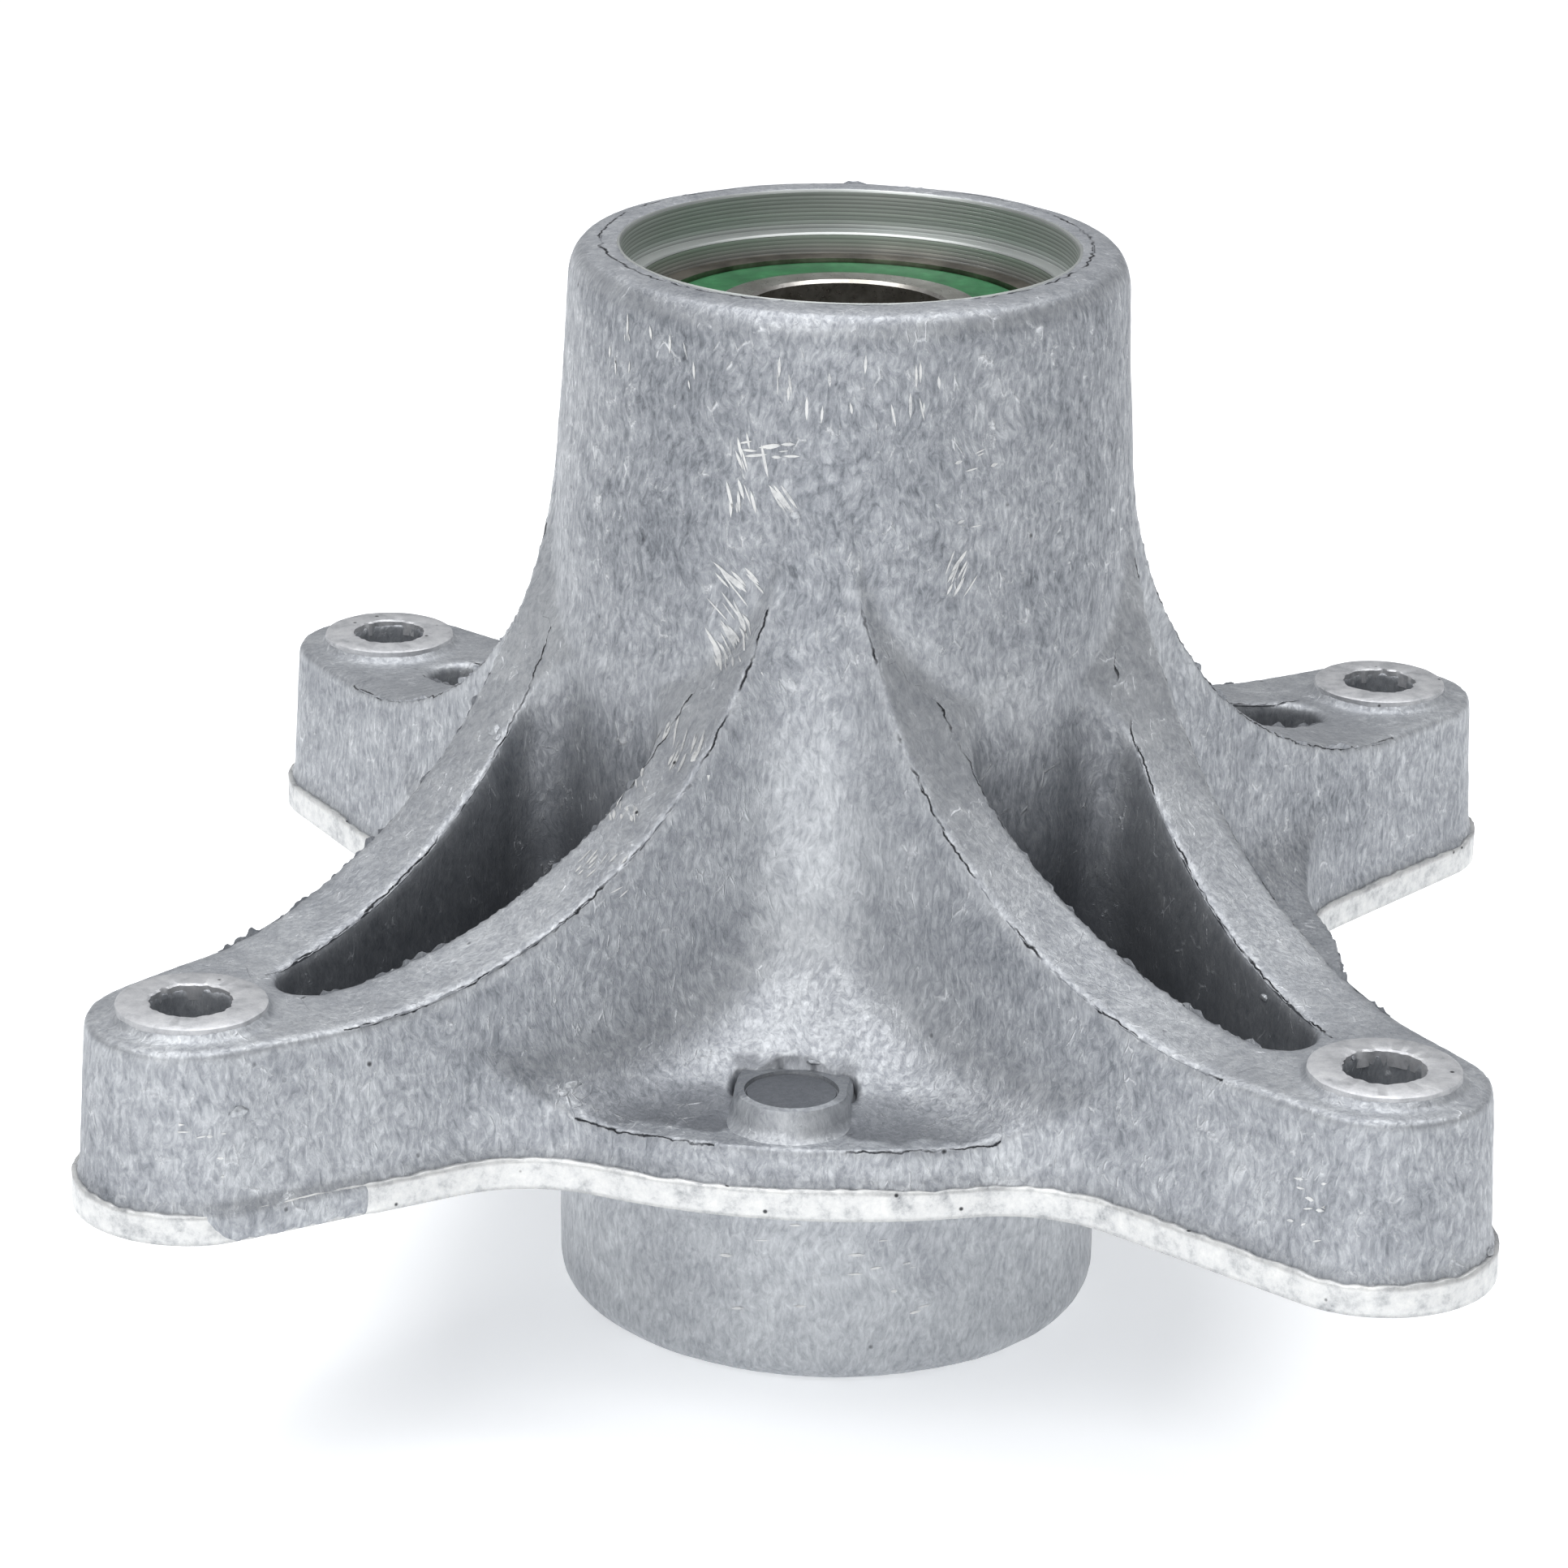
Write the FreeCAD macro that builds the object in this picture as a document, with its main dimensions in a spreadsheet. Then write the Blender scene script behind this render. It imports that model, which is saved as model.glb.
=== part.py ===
import FreeCAD, Part
import math
import os

import Sketcher
from FreeCAD import Placement, Rotation, Vector

# A die-cast housing for a mower deck spindle, with its two pressed-in sealed ball bearings and the
# spacer tube between them. Millimetres; +Z is the spindle axis, z = 0 is the flange's underside, and
# the origin is the centre of the square of four deck screws. The small blind boss faces -Y.

doc = FreeCAD.newDocument("mower_spindle_housing")
sheet = doc.addObject("Spreadsheet::Sheet", "dims")

DIMENSIONS = {
    # Deck screws and the four arms that carry them
    "hole_pitch": 105.5,
    "screw_hole_radius": 3.75,
    "screw_pad_radius": 6.8,
    "screw_pad_rise": 1.25,
    "arm_tip_radius": 10.5,
    "arm_side_angle": 9.5,
    "arm_top_height": 17.7,
    "rib_arc_radius": 47.0,
    "rib_arc_to_screw": 7.1,
    # Pocket in each arm
    "pocket_floor_height": 7.0,
    "pocket_to_screw": 13.4,
    "pocket_end_radius": 3.1,
    "pocket_corner_radius": 4.0,
    # Flange plate and its trimmed edge
    "flange_radius": 50.2,
    "flange_thickness": 6.5,
    "flange_corner_radius": 14.0,
    "lip_width": 0.5,
    "lip_height": 2.9,
    # Hub and spigot
    "draft_angle": 3.0,
    "hub_top_height": 77.0,
    "hub_top_radius": 26.1,
    "hub_rim_radius": 2.8,
    "flare_radius": 20.0,
    "valley_radius": 8.0,
    "spigot_radius": 26.45,
    "spigot_depth": 28.4,
    "spigot_edge_radius": 3.0,
    # Bores
    "counterbore_step": 1.4,
    "counterbore_depth": 3.9,
    "upper_bearing_drop": 5.9,
    "lower_bearing_drop": 3.0,
    "seat_shoulder_width": 2.7,
    "bore_chamfer": 0.8,
    # Blind boss at the front
    "boss_reach": 42.5,
    "boss_radius": 4.9,
    "boss_top_height": 9.2,
    "boss_dish_rim": 0.7,
    "boss_dish_depth": 0.3,
    "boss_notch_width": 11.4,
    "boss_notch_reach": 38.3,
    # Sealed ball bearing
    "bearing_radius": 20.0,
    "bearing_bore_radius": 9.525,
    "bearing_width": 12.0,
    "ring_chamfer": 0.3,
    "inner_ring_wall": 3.175,
    "outer_ring_wall": 3.4,
    "ball_radius": 3.373,
    "ball_count": 8,
    "race_clearance": 0.08,
    "seal_seat_wall": 2.14,
    "seal_seat_depth": 1.6,
    "seal_recess": 0.3,
    "seal_lip_gap": 0.12,
    "cage_band_width": 1.8,
    "cage_thickness": 0.6,
    "cage_ball_gap": 0.1,
    # Spacer tube between the inner rings
    "spacer_bore_clearance": 0.175,
    "spacer_shoulder_step": 0.2,
    "spacer_end_gap": 0.05,
}

for row, (name, value) in enumerate(DIMENSIONS.items(), start=1):
    sheet.set(f"A{row}", name)
    sheet.set(f"B{row}", str(value))
    sheet.setAlias(f"B{row}", name)
doc.recompute()


def named(expression):
    """The expression with every driving dimension's name pointing at the sheet."""
    words = []
    word = ""
    for letter in expression + " ":
        if letter.isalnum() or letter == "_":
            word += letter
            continue
        words.append(f"dims.{word}" if word in DIMENSIONS else word)
        words.append(letter)
        word = ""
    return "".join(words).strip()


def value_of(expression):
    """The number that an expression of driving dimensions gives."""
    return float(sheet.evalExpression(named(expression)))


def bind(thing, prop, expression):
    thing.setExpression(prop, named(expression))


# Places worked out from the driving dimensions

ARM_REACH = "(hole_pitch / sqrt(2))"
BLANK_RADIUS = f"({ARM_REACH} + 2 * arm_tip_radius)"
DRAFT = "tan(draft_angle * 1 deg)"
HUB_FOOT_RADIUS = f"(hub_top_radius + (hub_top_height - flange_thickness) * {DRAFT})"
FLARE_RUN = "(flare_radius * tan((90 - draft_angle) * 0.5 deg))"
RIM_RUN = "(hub_rim_radius * tan((90 - draft_angle) * 0.5 deg))"
COUNTERBORE_RADIUS = "(bearing_radius + counterbore_step)"
CORE_RADIUS = "(bearing_radius - seat_shoulder_width)"
RIB_ARC_REACH = f"({ARM_REACH} - rib_arc_to_screw)"
UPPER_BEARING_BASE = "(hub_top_height - upper_bearing_drop - bearing_width)"
LOWER_BEARING_BASE = "(lower_bearing_drop - spigot_depth)"
INNER_SHOULDER = "(bearing_bore_radius + inner_ring_wall)"
OUTER_SHOULDER = "(bearing_radius - outer_ring_wall)"
SEAL_SEAT = "(bearing_radius - seal_seat_wall)"
BALL_PITCH = f"(({INNER_SHOULDER} + {OUTER_SHOULDER}) / 2)"


# Sketches

def plane_of(body, role):
    return next(item for item in body.Origin.OriginFeatures if item.Role == role)


def new_body(label):
    body = doc.addObject("PartDesign::Body", label)
    body.Label = label
    return body


def new_sketch(body, name, role, height="0"):
    """An empty sketch on one of the body's own planes, or raised above it by height."""
    sketch = body.newObject("Sketcher::SketchObject", name)
    sketch.AttachmentSupport = [(plane_of(body, role), "")]
    sketch.MapMode = "FlatFace"
    bind(sketch, ".AttachmentOffset.Base.z", height)
    return sketch


def pin_point(sketch, edge, end, point):
    """Places one end of an edge (1 start, 2 end, 3 centre) at a pair of expressions."""
    for kind, expression in zip(("DistanceX", "DistanceY"), point):
        index = sketch.addConstraint(
            Sketcher.Constraint(kind, -1, 1, edge, end, value_of(expression)))
        bind(sketch, f"Constraints[{index}]", expression)


def add_loop(sketch, corners):
    """A closed outline of (x, y, bend) corners. Each bend belongs to the edge that leaves its
    corner: None for a line, else the radius of an arc, with a minus sign for a clockwise one."""
    spots = [Vector(value_of(x), value_of(y), 0) for x, y, bend in corners]
    first = sketch.GeometryCount
    for number, (x, y, bend) in enumerate(corners):
        start = spots[number]
        end = spots[(number + 1) % len(spots)]
        if bend is None:
            edge = sketch.addGeometry(Part.LineSegment(start, end))
            sketch_start = 1
        else:
            clockwise = bend.startswith("-")
            radius = value_of(bend.lstrip("-"))
            chord = end - start
            side = Vector(chord.y, -chord.x, 0).normalize() * (-1 if clockwise else 1)
            sagitta = radius - math.sqrt(max(radius ** 2 - chord.Length ** 2 / 4, 0))
            middle = (start + end) * 0.5 + side * sagitta
            edge = sketch.addGeometry(Part.Arc(start, middle, end))
            sketch_start = 2 if clockwise else 1
            index = sketch.addConstraint(Sketcher.Constraint("Radius", edge, radius))
            bind(sketch, f"Constraints[{index}]", bend.lstrip("-"))
        pin_point(sketch, edge, sketch_start, (x, y))
        if number:
            sketch.addConstraint(Sketcher.Constraint(
                "Coincident", edge - 1, previous_end, edge, sketch_start))
        previous_end = 3 - sketch_start
        if not number:
            first_start = sketch_start
    sketch.addConstraint(Sketcher.Constraint("Coincident", edge, previous_end, first, first_start))


def add_circle(sketch, centre, radius):
    spot = Vector(value_of(centre[0]), value_of(centre[1]), 0)
    edge = sketch.addGeometry(Part.Circle(spot, Vector(0, 0, 1), value_of(radius)))
    pin_point(sketch, edge, 3, centre)
    index = sketch.addConstraint(Sketcher.Constraint("Radius", edge, value_of(radius)))
    bind(sketch, f"Constraints[{index}]", radius)


def turned(u, v, degrees):
    """A point u along an arm and v across it, for an arm at an angle to +X."""
    x = f"(({u}) * cos({degrees} deg) - ({v}) * sin({degrees} deg))"
    y = f"(({u}) * sin({degrees} deg) + ({v}) * cos({degrees} deg))"
    return x, y


def star_loop(sketch, reach, tip_radius, side_angle, first_arm):
    """Four tapering arms with round tips, one every quarter turn, in one outline. Their sides run
    on until neighbouring arms meet, inside the hub."""
    sine = f"sin({side_angle} * 1 deg)"
    cosine = f"cos({side_angle} * 1 deg)"
    slope = f"tan({side_angle} * 1 deg)"
    tip_u = f"({reach} + {tip_radius} * {sine})"
    tip_v = f"({tip_radius} * {cosine})"
    root = f"(({tip_v} + {tip_u} * {slope}) / (1 + {slope}))"
    corners = []
    for quarter in range(4):
        angle = first_arm + 90 * quarter
        corners.append((*turned(root, f"-{root}", angle), None))
        corners.append((*turned(tip_u, f"-{tip_v}", angle), tip_radius))
        corners.append((*turned(tip_u, tip_v, angle), None))
    add_loop(sketch, corners)


def flange_loop(sketch, offset):
    """The flange's outline: four arm tips, and between them a round edge about the axis, which
    sweeps into the arms' sides in hollow corners."""
    sine = "sin(arm_side_angle * 1 deg)"
    cosine = "cos(arm_side_angle * 1 deg)"
    tip_radius = f"(arm_tip_radius + {offset})"
    edge_radius = f"(flange_radius + {offset})"
    corner_radius = f"(flange_corner_radius - {offset})"
    tip_u = f"({ARM_REACH} + {tip_radius} * {sine})"
    tip_v = f"({tip_radius} * {cosine})"
    side_distance = f"({ARM_REACH} * {sine} + {tip_radius})"
    centre_out = f"({side_distance} + {corner_radius})"
    centre_along = f"sqrt(({edge_radius} + {corner_radius})^2 - {centre_out}^2)"
    side_u = f"({side_distance} * {sine} + {centre_along} * {cosine})"
    side_v = f"({side_distance} * {cosine} - {centre_along} * {sine})"
    share = f"({edge_radius} / ({edge_radius} + {corner_radius}))"
    edge_u = f"(({centre_out} * {sine} + {centre_along} * {cosine}) * {share})"
    edge_v = f"(({centre_out} * {cosine} - {centre_along} * {sine}) * {share})"
    corners = []
    for quarter in range(4):
        angle = 45 + 90 * quarter
        corners.append((*turned(edge_u, f"-{edge_v}", angle), f"-{corner_radius}"))
        corners.append((*turned(side_u, f"-{side_v}", angle), None))
        corners.append((*turned(tip_u, f"-{tip_v}", angle), tip_radius))
        corners.append((*turned(tip_u, tip_v, angle), None))
        corners.append((*turned(side_u, side_v, angle), f"-{corner_radius}"))
        corners.append((*turned(edge_u, edge_v, angle), edge_radius))
    add_loop(sketch, corners)


# Features

def add_pad(body, sketch, name, length):
    pad = body.newObject("PartDesign::Pad", name)
    pad.Profile = sketch
    bind(pad, "Length", length)
    doc.recompute()
    return pad


def add_draft(body, base, name, inwards):
    """Leans a pad's upright sides by the draft angle, about its bottom face."""
    faces = base.Shape.Faces
    sides = [f"Face{n}" for n, face in enumerate(faces, 1) if abs(face.normalAt(0, 0).z) < 0.5]
    level = [(face.CenterOfMass.z, n) for n, face in enumerate(faces, 1)
             if abs(face.normalAt(0, 0).z) > 0.5]
    draft = body.newObject("PartDesign::Draft", name)
    draft.Base = (base, sides)
    draft.NeutralPlane = (base, [f"Face{min(level)[1]}"])
    draft.Reversed = not inwards
    bind(draft, "Angle", "draft_angle")
    doc.recompute()
    grew = draft.Shape.Volume > base.Shape.Volume
    if grew == inwards:
        draft.Reversed = inwards
        doc.recompute()
    return draft


def add_turned(body, kind, sketch, name):
    """A Revolution or a Groove of a sketch about the body's Z axis."""
    feature = body.newObject(f"PartDesign::{kind}", name)
    feature.Profile = sketch
    feature.ReferenceAxis = (plane_of(body, "Z_Axis"), [""])
    feature.Angle = 360
    doc.recompute()
    return feature


def add_fillet(body, base, name, edges, radius):
    fillet = body.newObject("PartDesign::Fillet", name)
    fillet.Base = (base, edges)
    bind(fillet, "Radius", radius)
    doc.recompute()
    return fillet


def edges_where(shape, test):
    """Names of the shape's edges whose two faces and middle point pass the test."""
    names = []
    for number, edge in enumerate(shape.Edges, 1):
        faces = shape.ancestorsOfType(edge, Part.Face)
        middle = edge.valueAt((edge.FirstParameter + edge.LastParameter) / 2)
        if len(faces) == 2 and test(faces, middle):
            names.append(f"Edge{number}")
    return names


def kind_of(face):
    return type(face.Surface).__name__


def about_axis(face):
    """True for a cone or cylinder about the spindle axis."""
    if kind_of(face) not in ("Cone", "Cylinder"):
        return False
    centre = face.Surface.Center
    return math.hypot(centre.x, centre.y) < 1e-6


def add_polar_copies(body, original, name, count="4"):
    """Copies of a feature about the body's Z axis, evenly spaced over a full turn."""
    copies = body.newObject("PartDesign::PolarPattern", name)
    copies.Originals = [original]
    copies.Axis = (plane_of(body, "Z_Axis"), [""])
    copies.Angle = 360
    bind(copies, "Occurrences", count)
    body.Tip = copies
    doc.recompute()
    return copies


def add_pocket(body, sketch, name, kind, depth="0"):
    """A cut from a sketch: through everything both ways, or upwards by a depth."""
    before = body.Shape.Volume
    pocket = body.newObject("PartDesign::Pocket", name)
    pocket.Profile = sketch
    pocket.Type = kind
    if kind == "ThroughAll":
        pocket.SideType = "Symmetric"
    else:
        pocket.Reversed = True
        bind(pocket, "Length", depth)
    doc.recompute()
    if pocket.Shape.Volume >= before:
        raise RuntimeError(f"{name} cuts nothing")
    return pocket


def hub_cone_loop(sketch):
    """Half of the plain hub cone, from the flange's underside up past its top."""
    above = "(hub_top_height + flare_radius * 2)"
    add_loop(sketch, [
        ("0", "0", None),
        (f"hub_top_radius + hub_top_height * {DRAFT}", "0", None),
        (f"hub_top_radius + (hub_top_height - {above}) * {DRAFT}", above, None),
        ("0", above, None),
    ])


# Housing: the arms, full height at first, on the hub and a wide flange

blank = new_body("housing_blank")
arms_sketch = new_sketch(blank, "arms_sketch", "XY_Plane")
star_loop(arms_sketch, ARM_REACH, "arm_tip_radius", "arm_side_angle", 45)
arms = add_pad(blank, arms_sketch, "arms", "hub_top_height")
arms_draft = add_draft(blank, arms, "arms_draft", inwards=True)

hub_sketch = new_sketch(blank, "hub_sketch", "XZ_Plane")
add_loop(hub_sketch, [
    ("0", "0", None),
    (BLANK_RADIUS, "0", None),
    (BLANK_RADIUS, "flange_thickness", None),
    (f"{HUB_FOOT_RADIUS} + {FLARE_RUN}", "flange_thickness", "-flare_radius"),
    (f"{HUB_FOOT_RADIUS} - {FLARE_RUN} * sin(draft_angle * 1 deg)",
     f"flange_thickness + {FLARE_RUN} * cos(draft_angle * 1 deg)", None),
    ("hub_top_radius", "hub_top_height", None),
    ("0", "hub_top_height", None),
])
hub = add_turned(blank, "Revolution", hub_sketch, "hub")


def is_arm_side(face):
    if kind_of(face) == "Plane":
        return abs(face.normalAt(0, 0).z) < 0.2
    return kind_of(face) == "Cone" and not about_axis(face)


def is_hub_or_flange(face):
    if kind_of(face) == "Plane":
        return abs(face.CenterOfMass.z - value_of("flange_thickness")) < 1e-3
    return kind_of(face) == "Toroid" or (kind_of(face) == "Cone" and about_axis(face))


def in_valley(faces, middle):
    one, other = faces
    return ((is_arm_side(one) and is_hub_or_flange(other))
            or (is_arm_side(other) and is_hub_or_flange(one)))


valleys = add_fillet(blank, hub, "valleys", edges_where(hub.Shape, in_valley), "valley_radius")

# The flange's outline, which trims the blank

outline = new_body("flange_outline")
outline_sketch = new_sketch(outline, "outline_sketch", "XY_Plane")
flange_loop(outline_sketch, "0")
outline_pad = add_pad(outline, outline_sketch, "outline_pad", "hub_top_height")
outline_draft = add_draft(outline, outline_pad, "outline_draft", inwards=True)

trimmed = doc.addObject("Part::Common", "housing_trimmed")
trimmed.Base = blank
trimmed.Tool = outline

# The air above the ribs: each rib's top is an arc across its arm, down to the flat screw boss

rib_air = new_body("rib_air")
rib_sketch = new_sketch(rib_air, "rib_sketch", "XZ_Plane")
add_loop(rib_sketch, [
    (RIB_ARC_REACH, "arm_top_height", None),
    (BLANK_RADIUS, "arm_top_height", None),
    (BLANK_RADIUS, "hub_top_height + flare_radius", None),
    (f"{RIB_ARC_REACH} - rib_arc_radius", "hub_top_height + flare_radius", None),
    (f"{RIB_ARC_REACH} - rib_arc_radius", "arm_top_height + rib_arc_radius", "rib_arc_radius"),
])
rib_cut = add_pad(rib_air, rib_sketch, "rib_cut", f"2 * {ARM_REACH}")
rib_cut.SideType = "Symmetric"
four_ribs = add_polar_copies(rib_air, rib_cut, "four_ribs")
hub_left = new_sketch(rib_air, "hub_left_sketch", "XZ_Plane")
hub_cone_loop(hub_left)
rib_air_hub = add_turned(rib_air, "Groove", hub_left, "rib_air_hub")
rib_air.Placement = Placement(Vector(), Rotation(Vector(0, 0, 1), 45))

# The pocket in each arm, open at the top, which ends at the hub

pockets = new_body("pockets")
pockets_sketch = new_sketch(pockets, "pockets_sketch", "XY_Plane", "pocket_floor_height")
star_loop(pockets_sketch, f"({ARM_REACH} - pocket_to_screw)", "pocket_end_radius",
          "arm_side_angle", 45)
pockets_pad = add_pad(pockets, pockets_sketch, "pockets_pad", "hub_top_height")
pockets_draft = add_draft(pockets, pockets_pad, "pockets_draft", inwards=False)
pockets_hub_sketch = new_sketch(pockets, "pockets_hub_sketch", "XZ_Plane")
hub_cone_loop(pockets_hub_sketch)
pockets_hub = add_turned(pockets, "Groove", pockets_hub_sketch, "pockets_hub")


def in_pocket_corner(faces, middle):
    return sorted(kind_of(face) for face in faces) == ["Cone", "Plane"] and any(
        about_axis(face) for face in faces) and all(
        abs(face.normalAt(0, 0).z) < 0.2 for face in faces)


pocket_corners = add_fillet(pockets, pockets_hub, "pocket_corners",
                            edges_where(pockets_hub.Shape, in_pocket_corner),
                            "pocket_corner_radius")

without_air = doc.addObject("Part::Cut", "housing_without_air")
without_air.Base = trimmed
without_air.Tool = rib_air
cast_block = doc.addObject("Part::Cut", "housing_cast_block")
cast_block.Base = without_air
cast_block.Tool = pockets
doc.recompute()

# The finished housing, on the cast block

housing = new_body("housing")
housing.BaseFeature = cast_block
doc.recompute()


rim_sketch = new_sketch(housing, "rim_sketch", "XZ_Plane")
add_loop(rim_sketch, [
    (f"hub_top_radius - {RIM_RUN}", "hub_top_height", "-hub_rim_radius"),
    (f"hub_top_radius + {RIM_RUN} * sin(draft_angle * 1 deg)",
     f"hub_top_height - {RIM_RUN} * cos(draft_angle * 1 deg)", None),
    ("hub_top_radius + hub_rim_radius", f"hub_top_height - {RIM_RUN} * cos(draft_angle * 1 deg)",
     None),
    ("hub_top_radius + hub_rim_radius", "hub_top_height + hub_rim_radius", None),
    (f"hub_top_radius - {RIM_RUN}", "hub_top_height + hub_rim_radius", None),
])
rim = add_turned(housing, "Groove", rim_sketch, "rim")

lip_sketch = new_sketch(housing, "lip_sketch", "XY_Plane")
flange_loop(lip_sketch, "lip_width")
lip = add_pad(housing, lip_sketch, "lip", "lip_height")

spigot_sketch = new_sketch(housing, "spigot_sketch", "XZ_Plane")
add_loop(spigot_sketch, [
    ("0", "-spigot_depth", None),
    ("spigot_radius - spigot_edge_radius", "-spigot_depth", "spigot_edge_radius"),
    ("spigot_radius", "spigot_edge_radius - spigot_depth", None),
    ("spigot_radius", "lip_height", None),
    ("0", "lip_height", None),
])
spigot = add_turned(housing, "Revolution", spigot_sketch, "spigot")

# Flat pads round the screw holes, and the holes

HOLE_PLACES = [(f"{x} * hole_pitch / 2", f"{y} * hole_pitch / 2")
               for x, y in ((1, 1), (-1, 1), (-1, -1), (1, -1))]

pads_sketch = new_sketch(housing, "pads_sketch", "XY_Plane", "arm_top_height")
for place in HOLE_PLACES:
    add_circle(pads_sketch, place, "screw_pad_radius")
screw_pads = add_pad(housing, pads_sketch, "screw_pads", "screw_pad_rise")

holes_sketch = new_sketch(housing, "holes_sketch", "XY_Plane", "arm_top_height + screw_pad_rise")
for place in HOLE_PLACES:
    add_circle(holes_sketch, place, "screw_hole_radius")
screw_holes = add_pocket(housing, holes_sketch, "screw_holes", "ThroughAll")

# The notch in the front flare and the blind boss that stands in it

notch_sketch = new_sketch(housing, "notch_sketch", "XY_Plane", "flange_thickness")
add_loop(notch_sketch, [
    ("-boss_notch_width / 2", "-boss_notch_reach", None),
    ("-boss_notch_width / 2", f"-{BLANK_RADIUS}", None),
    ("boss_notch_width / 2", f"-{BLANK_RADIUS}", None),
    ("boss_notch_width / 2", "-boss_notch_reach", None),
])
notch = add_pocket(housing, notch_sketch, "notch", "Length", "flare_radius")
boss_sketch = new_sketch(housing, "boss_sketch", "XY_Plane", "lip_height")
add_circle(boss_sketch, ("0", "-boss_reach"), "boss_radius")
boss = add_pad(housing, boss_sketch, "boss", "boss_top_height - lip_height")
dish_sketch = new_sketch(housing, "dish_sketch", "XY_Plane", "boss_top_height - boss_dish_depth")
add_circle(dish_sketch, ("0", "-boss_reach"), "boss_radius - boss_dish_rim")
dish = add_pocket(housing, dish_sketch, "dish", "Length", "boss_dish_depth * 2")

# Bores: counterbore, upper seat, cored middle, lower seat

bore_sketch = new_sketch(housing, "bore_sketch", "XZ_Plane")
add_loop(bore_sketch, [
    ("0", "-spigot_depth", None),
    ("bearing_radius + bore_chamfer", "-spigot_depth", None),
    ("bearing_radius", "bore_chamfer - spigot_depth", None),
    ("bearing_radius", f"{LOWER_BEARING_BASE} + bearing_width", None),
    (CORE_RADIUS, f"{LOWER_BEARING_BASE} + bearing_width", None),
    (CORE_RADIUS, UPPER_BEARING_BASE, None),
    ("bearing_radius", UPPER_BEARING_BASE, None),
    ("bearing_radius", "hub_top_height - counterbore_depth - bore_chamfer", None),
    ("bearing_radius + bore_chamfer", "hub_top_height - counterbore_depth", None),
    (COUNTERBORE_RADIUS, "hub_top_height - counterbore_depth", None),
    (COUNTERBORE_RADIUS, "hub_top_height", None),
    ("0", "hub_top_height", None),
])
bores = add_turned(housing, "Groove", bore_sketch, "bores")
housing.Tip = bores


# Sealed ball bearings

def ring_body(label, corners, base):
    """A turned ring whose outline is given about the bearing's lower face, raised to base."""
    body = new_body(label)
    sketch = new_sketch(body, f"{label}_sketch", "XZ_Plane")
    add_loop(sketch, corners)
    add_turned(body, "Revolution", sketch, f"{label}_turned")
    bind(body, "Placement.Base.z", base)
    return body


RACE_RADIUS = "(ball_radius + race_clearance)"
MIDDLE = "(bearing_width / 2)"
OUTER_RACE_HALF = f"sqrt({RACE_RADIUS}^2 - ({OUTER_SHOULDER} - {BALL_PITCH})^2)"
INNER_RACE_HALF = f"sqrt({RACE_RADIUS}^2 - ({BALL_PITCH} - {INNER_SHOULDER})^2)"
CAGE_INSIDE = f"{BALL_PITCH} - cage_band_width / 2"
CAGE_OUTSIDE = f"{BALL_PITCH} + cage_band_width / 2"


def outer_ring(prefix, base):
    return ring_body(f"{prefix}_outer_ring", [
        (SEAL_SEAT, "0", None),
        ("bearing_radius - ring_chamfer", "0", None),
        ("bearing_radius", "ring_chamfer", None),
        ("bearing_radius", "bearing_width - ring_chamfer", None),
        ("bearing_radius - ring_chamfer", "bearing_width", None),
        (SEAL_SEAT, "bearing_width", None),
        (SEAL_SEAT, "bearing_width - seal_seat_depth", None),
        (OUTER_SHOULDER, "bearing_width - seal_seat_depth", None),
        (OUTER_SHOULDER, f"{MIDDLE} + {OUTER_RACE_HALF}", f"-{RACE_RADIUS}"),
        (OUTER_SHOULDER, f"{MIDDLE} - {OUTER_RACE_HALF}", None),
        (OUTER_SHOULDER, "seal_seat_depth", None),
        (SEAL_SEAT, "seal_seat_depth", None),
    ], base)


def inner_ring(prefix, base):
    return ring_body(f"{prefix}_inner_ring", [
        ("bearing_bore_radius + ring_chamfer", "0", None),
        (f"{INNER_SHOULDER} - ring_chamfer", "0", None),
        (INNER_SHOULDER, "ring_chamfer", None),
        (INNER_SHOULDER, f"{MIDDLE} - {INNER_RACE_HALF}", f"-{RACE_RADIUS}"),
        (INNER_SHOULDER, f"{MIDDLE} + {INNER_RACE_HALF}", None),
        (INNER_SHOULDER, "bearing_width - ring_chamfer", None),
        (f"{INNER_SHOULDER} - ring_chamfer", "bearing_width", None),
        ("bearing_bore_radius + ring_chamfer", "bearing_width", None),
        ("bearing_bore_radius", "bearing_width - ring_chamfer", None),
        ("bearing_bore_radius", "ring_chamfer", None),
    ], base)


def seal(prefix, side, base):
    """A flat seal held in the outer ring's seat, its lip just clear of the inner ring."""
    low = "seal_recess" if side == "bottom" else "(bearing_width - seal_seat_depth)"
    high = "seal_seat_depth" if side == "bottom" else "(bearing_width - seal_recess)"
    inside = f"({INNER_SHOULDER} + seal_lip_gap)"
    return ring_body(f"{prefix}_{side}_seal", [
        (inside, low, None),
        (SEAL_SEAT, low, None),
        (SEAL_SEAT, high, None),
        (inside, high, None),
    ], base)


def set_primitive(kind, name, sizes, places):
    thing = doc.addObject(f"Part::{kind}", name)
    for prop, expression in sizes.items():
        bind(thing, prop, expression)
    for axis, expression in zip("xyz", places):
        bind(thing, f"Placement.Base.{axis}", expression)
    return thing


def cut_of(label, base, tool):
    cut = doc.addObject("Part::Cut", label)
    cut.Base = base
    cut.Tool = tool
    return cut


def tube_of(label, outer_radius, inner_radius, low, height):
    """A plain tube about the spindle axis, standing at the height low."""
    outside = set_primitive("Cylinder", f"{label}_outside",
                            {"Radius": outer_radius, "Height": height}, ("0", "0", low))
    inside = set_primitive("Cylinder", f"{label}_inside",
                           {"Radius": inner_radius, "Height": height}, ("0", "0", low))
    return cut_of(label, outside, inside)


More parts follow.
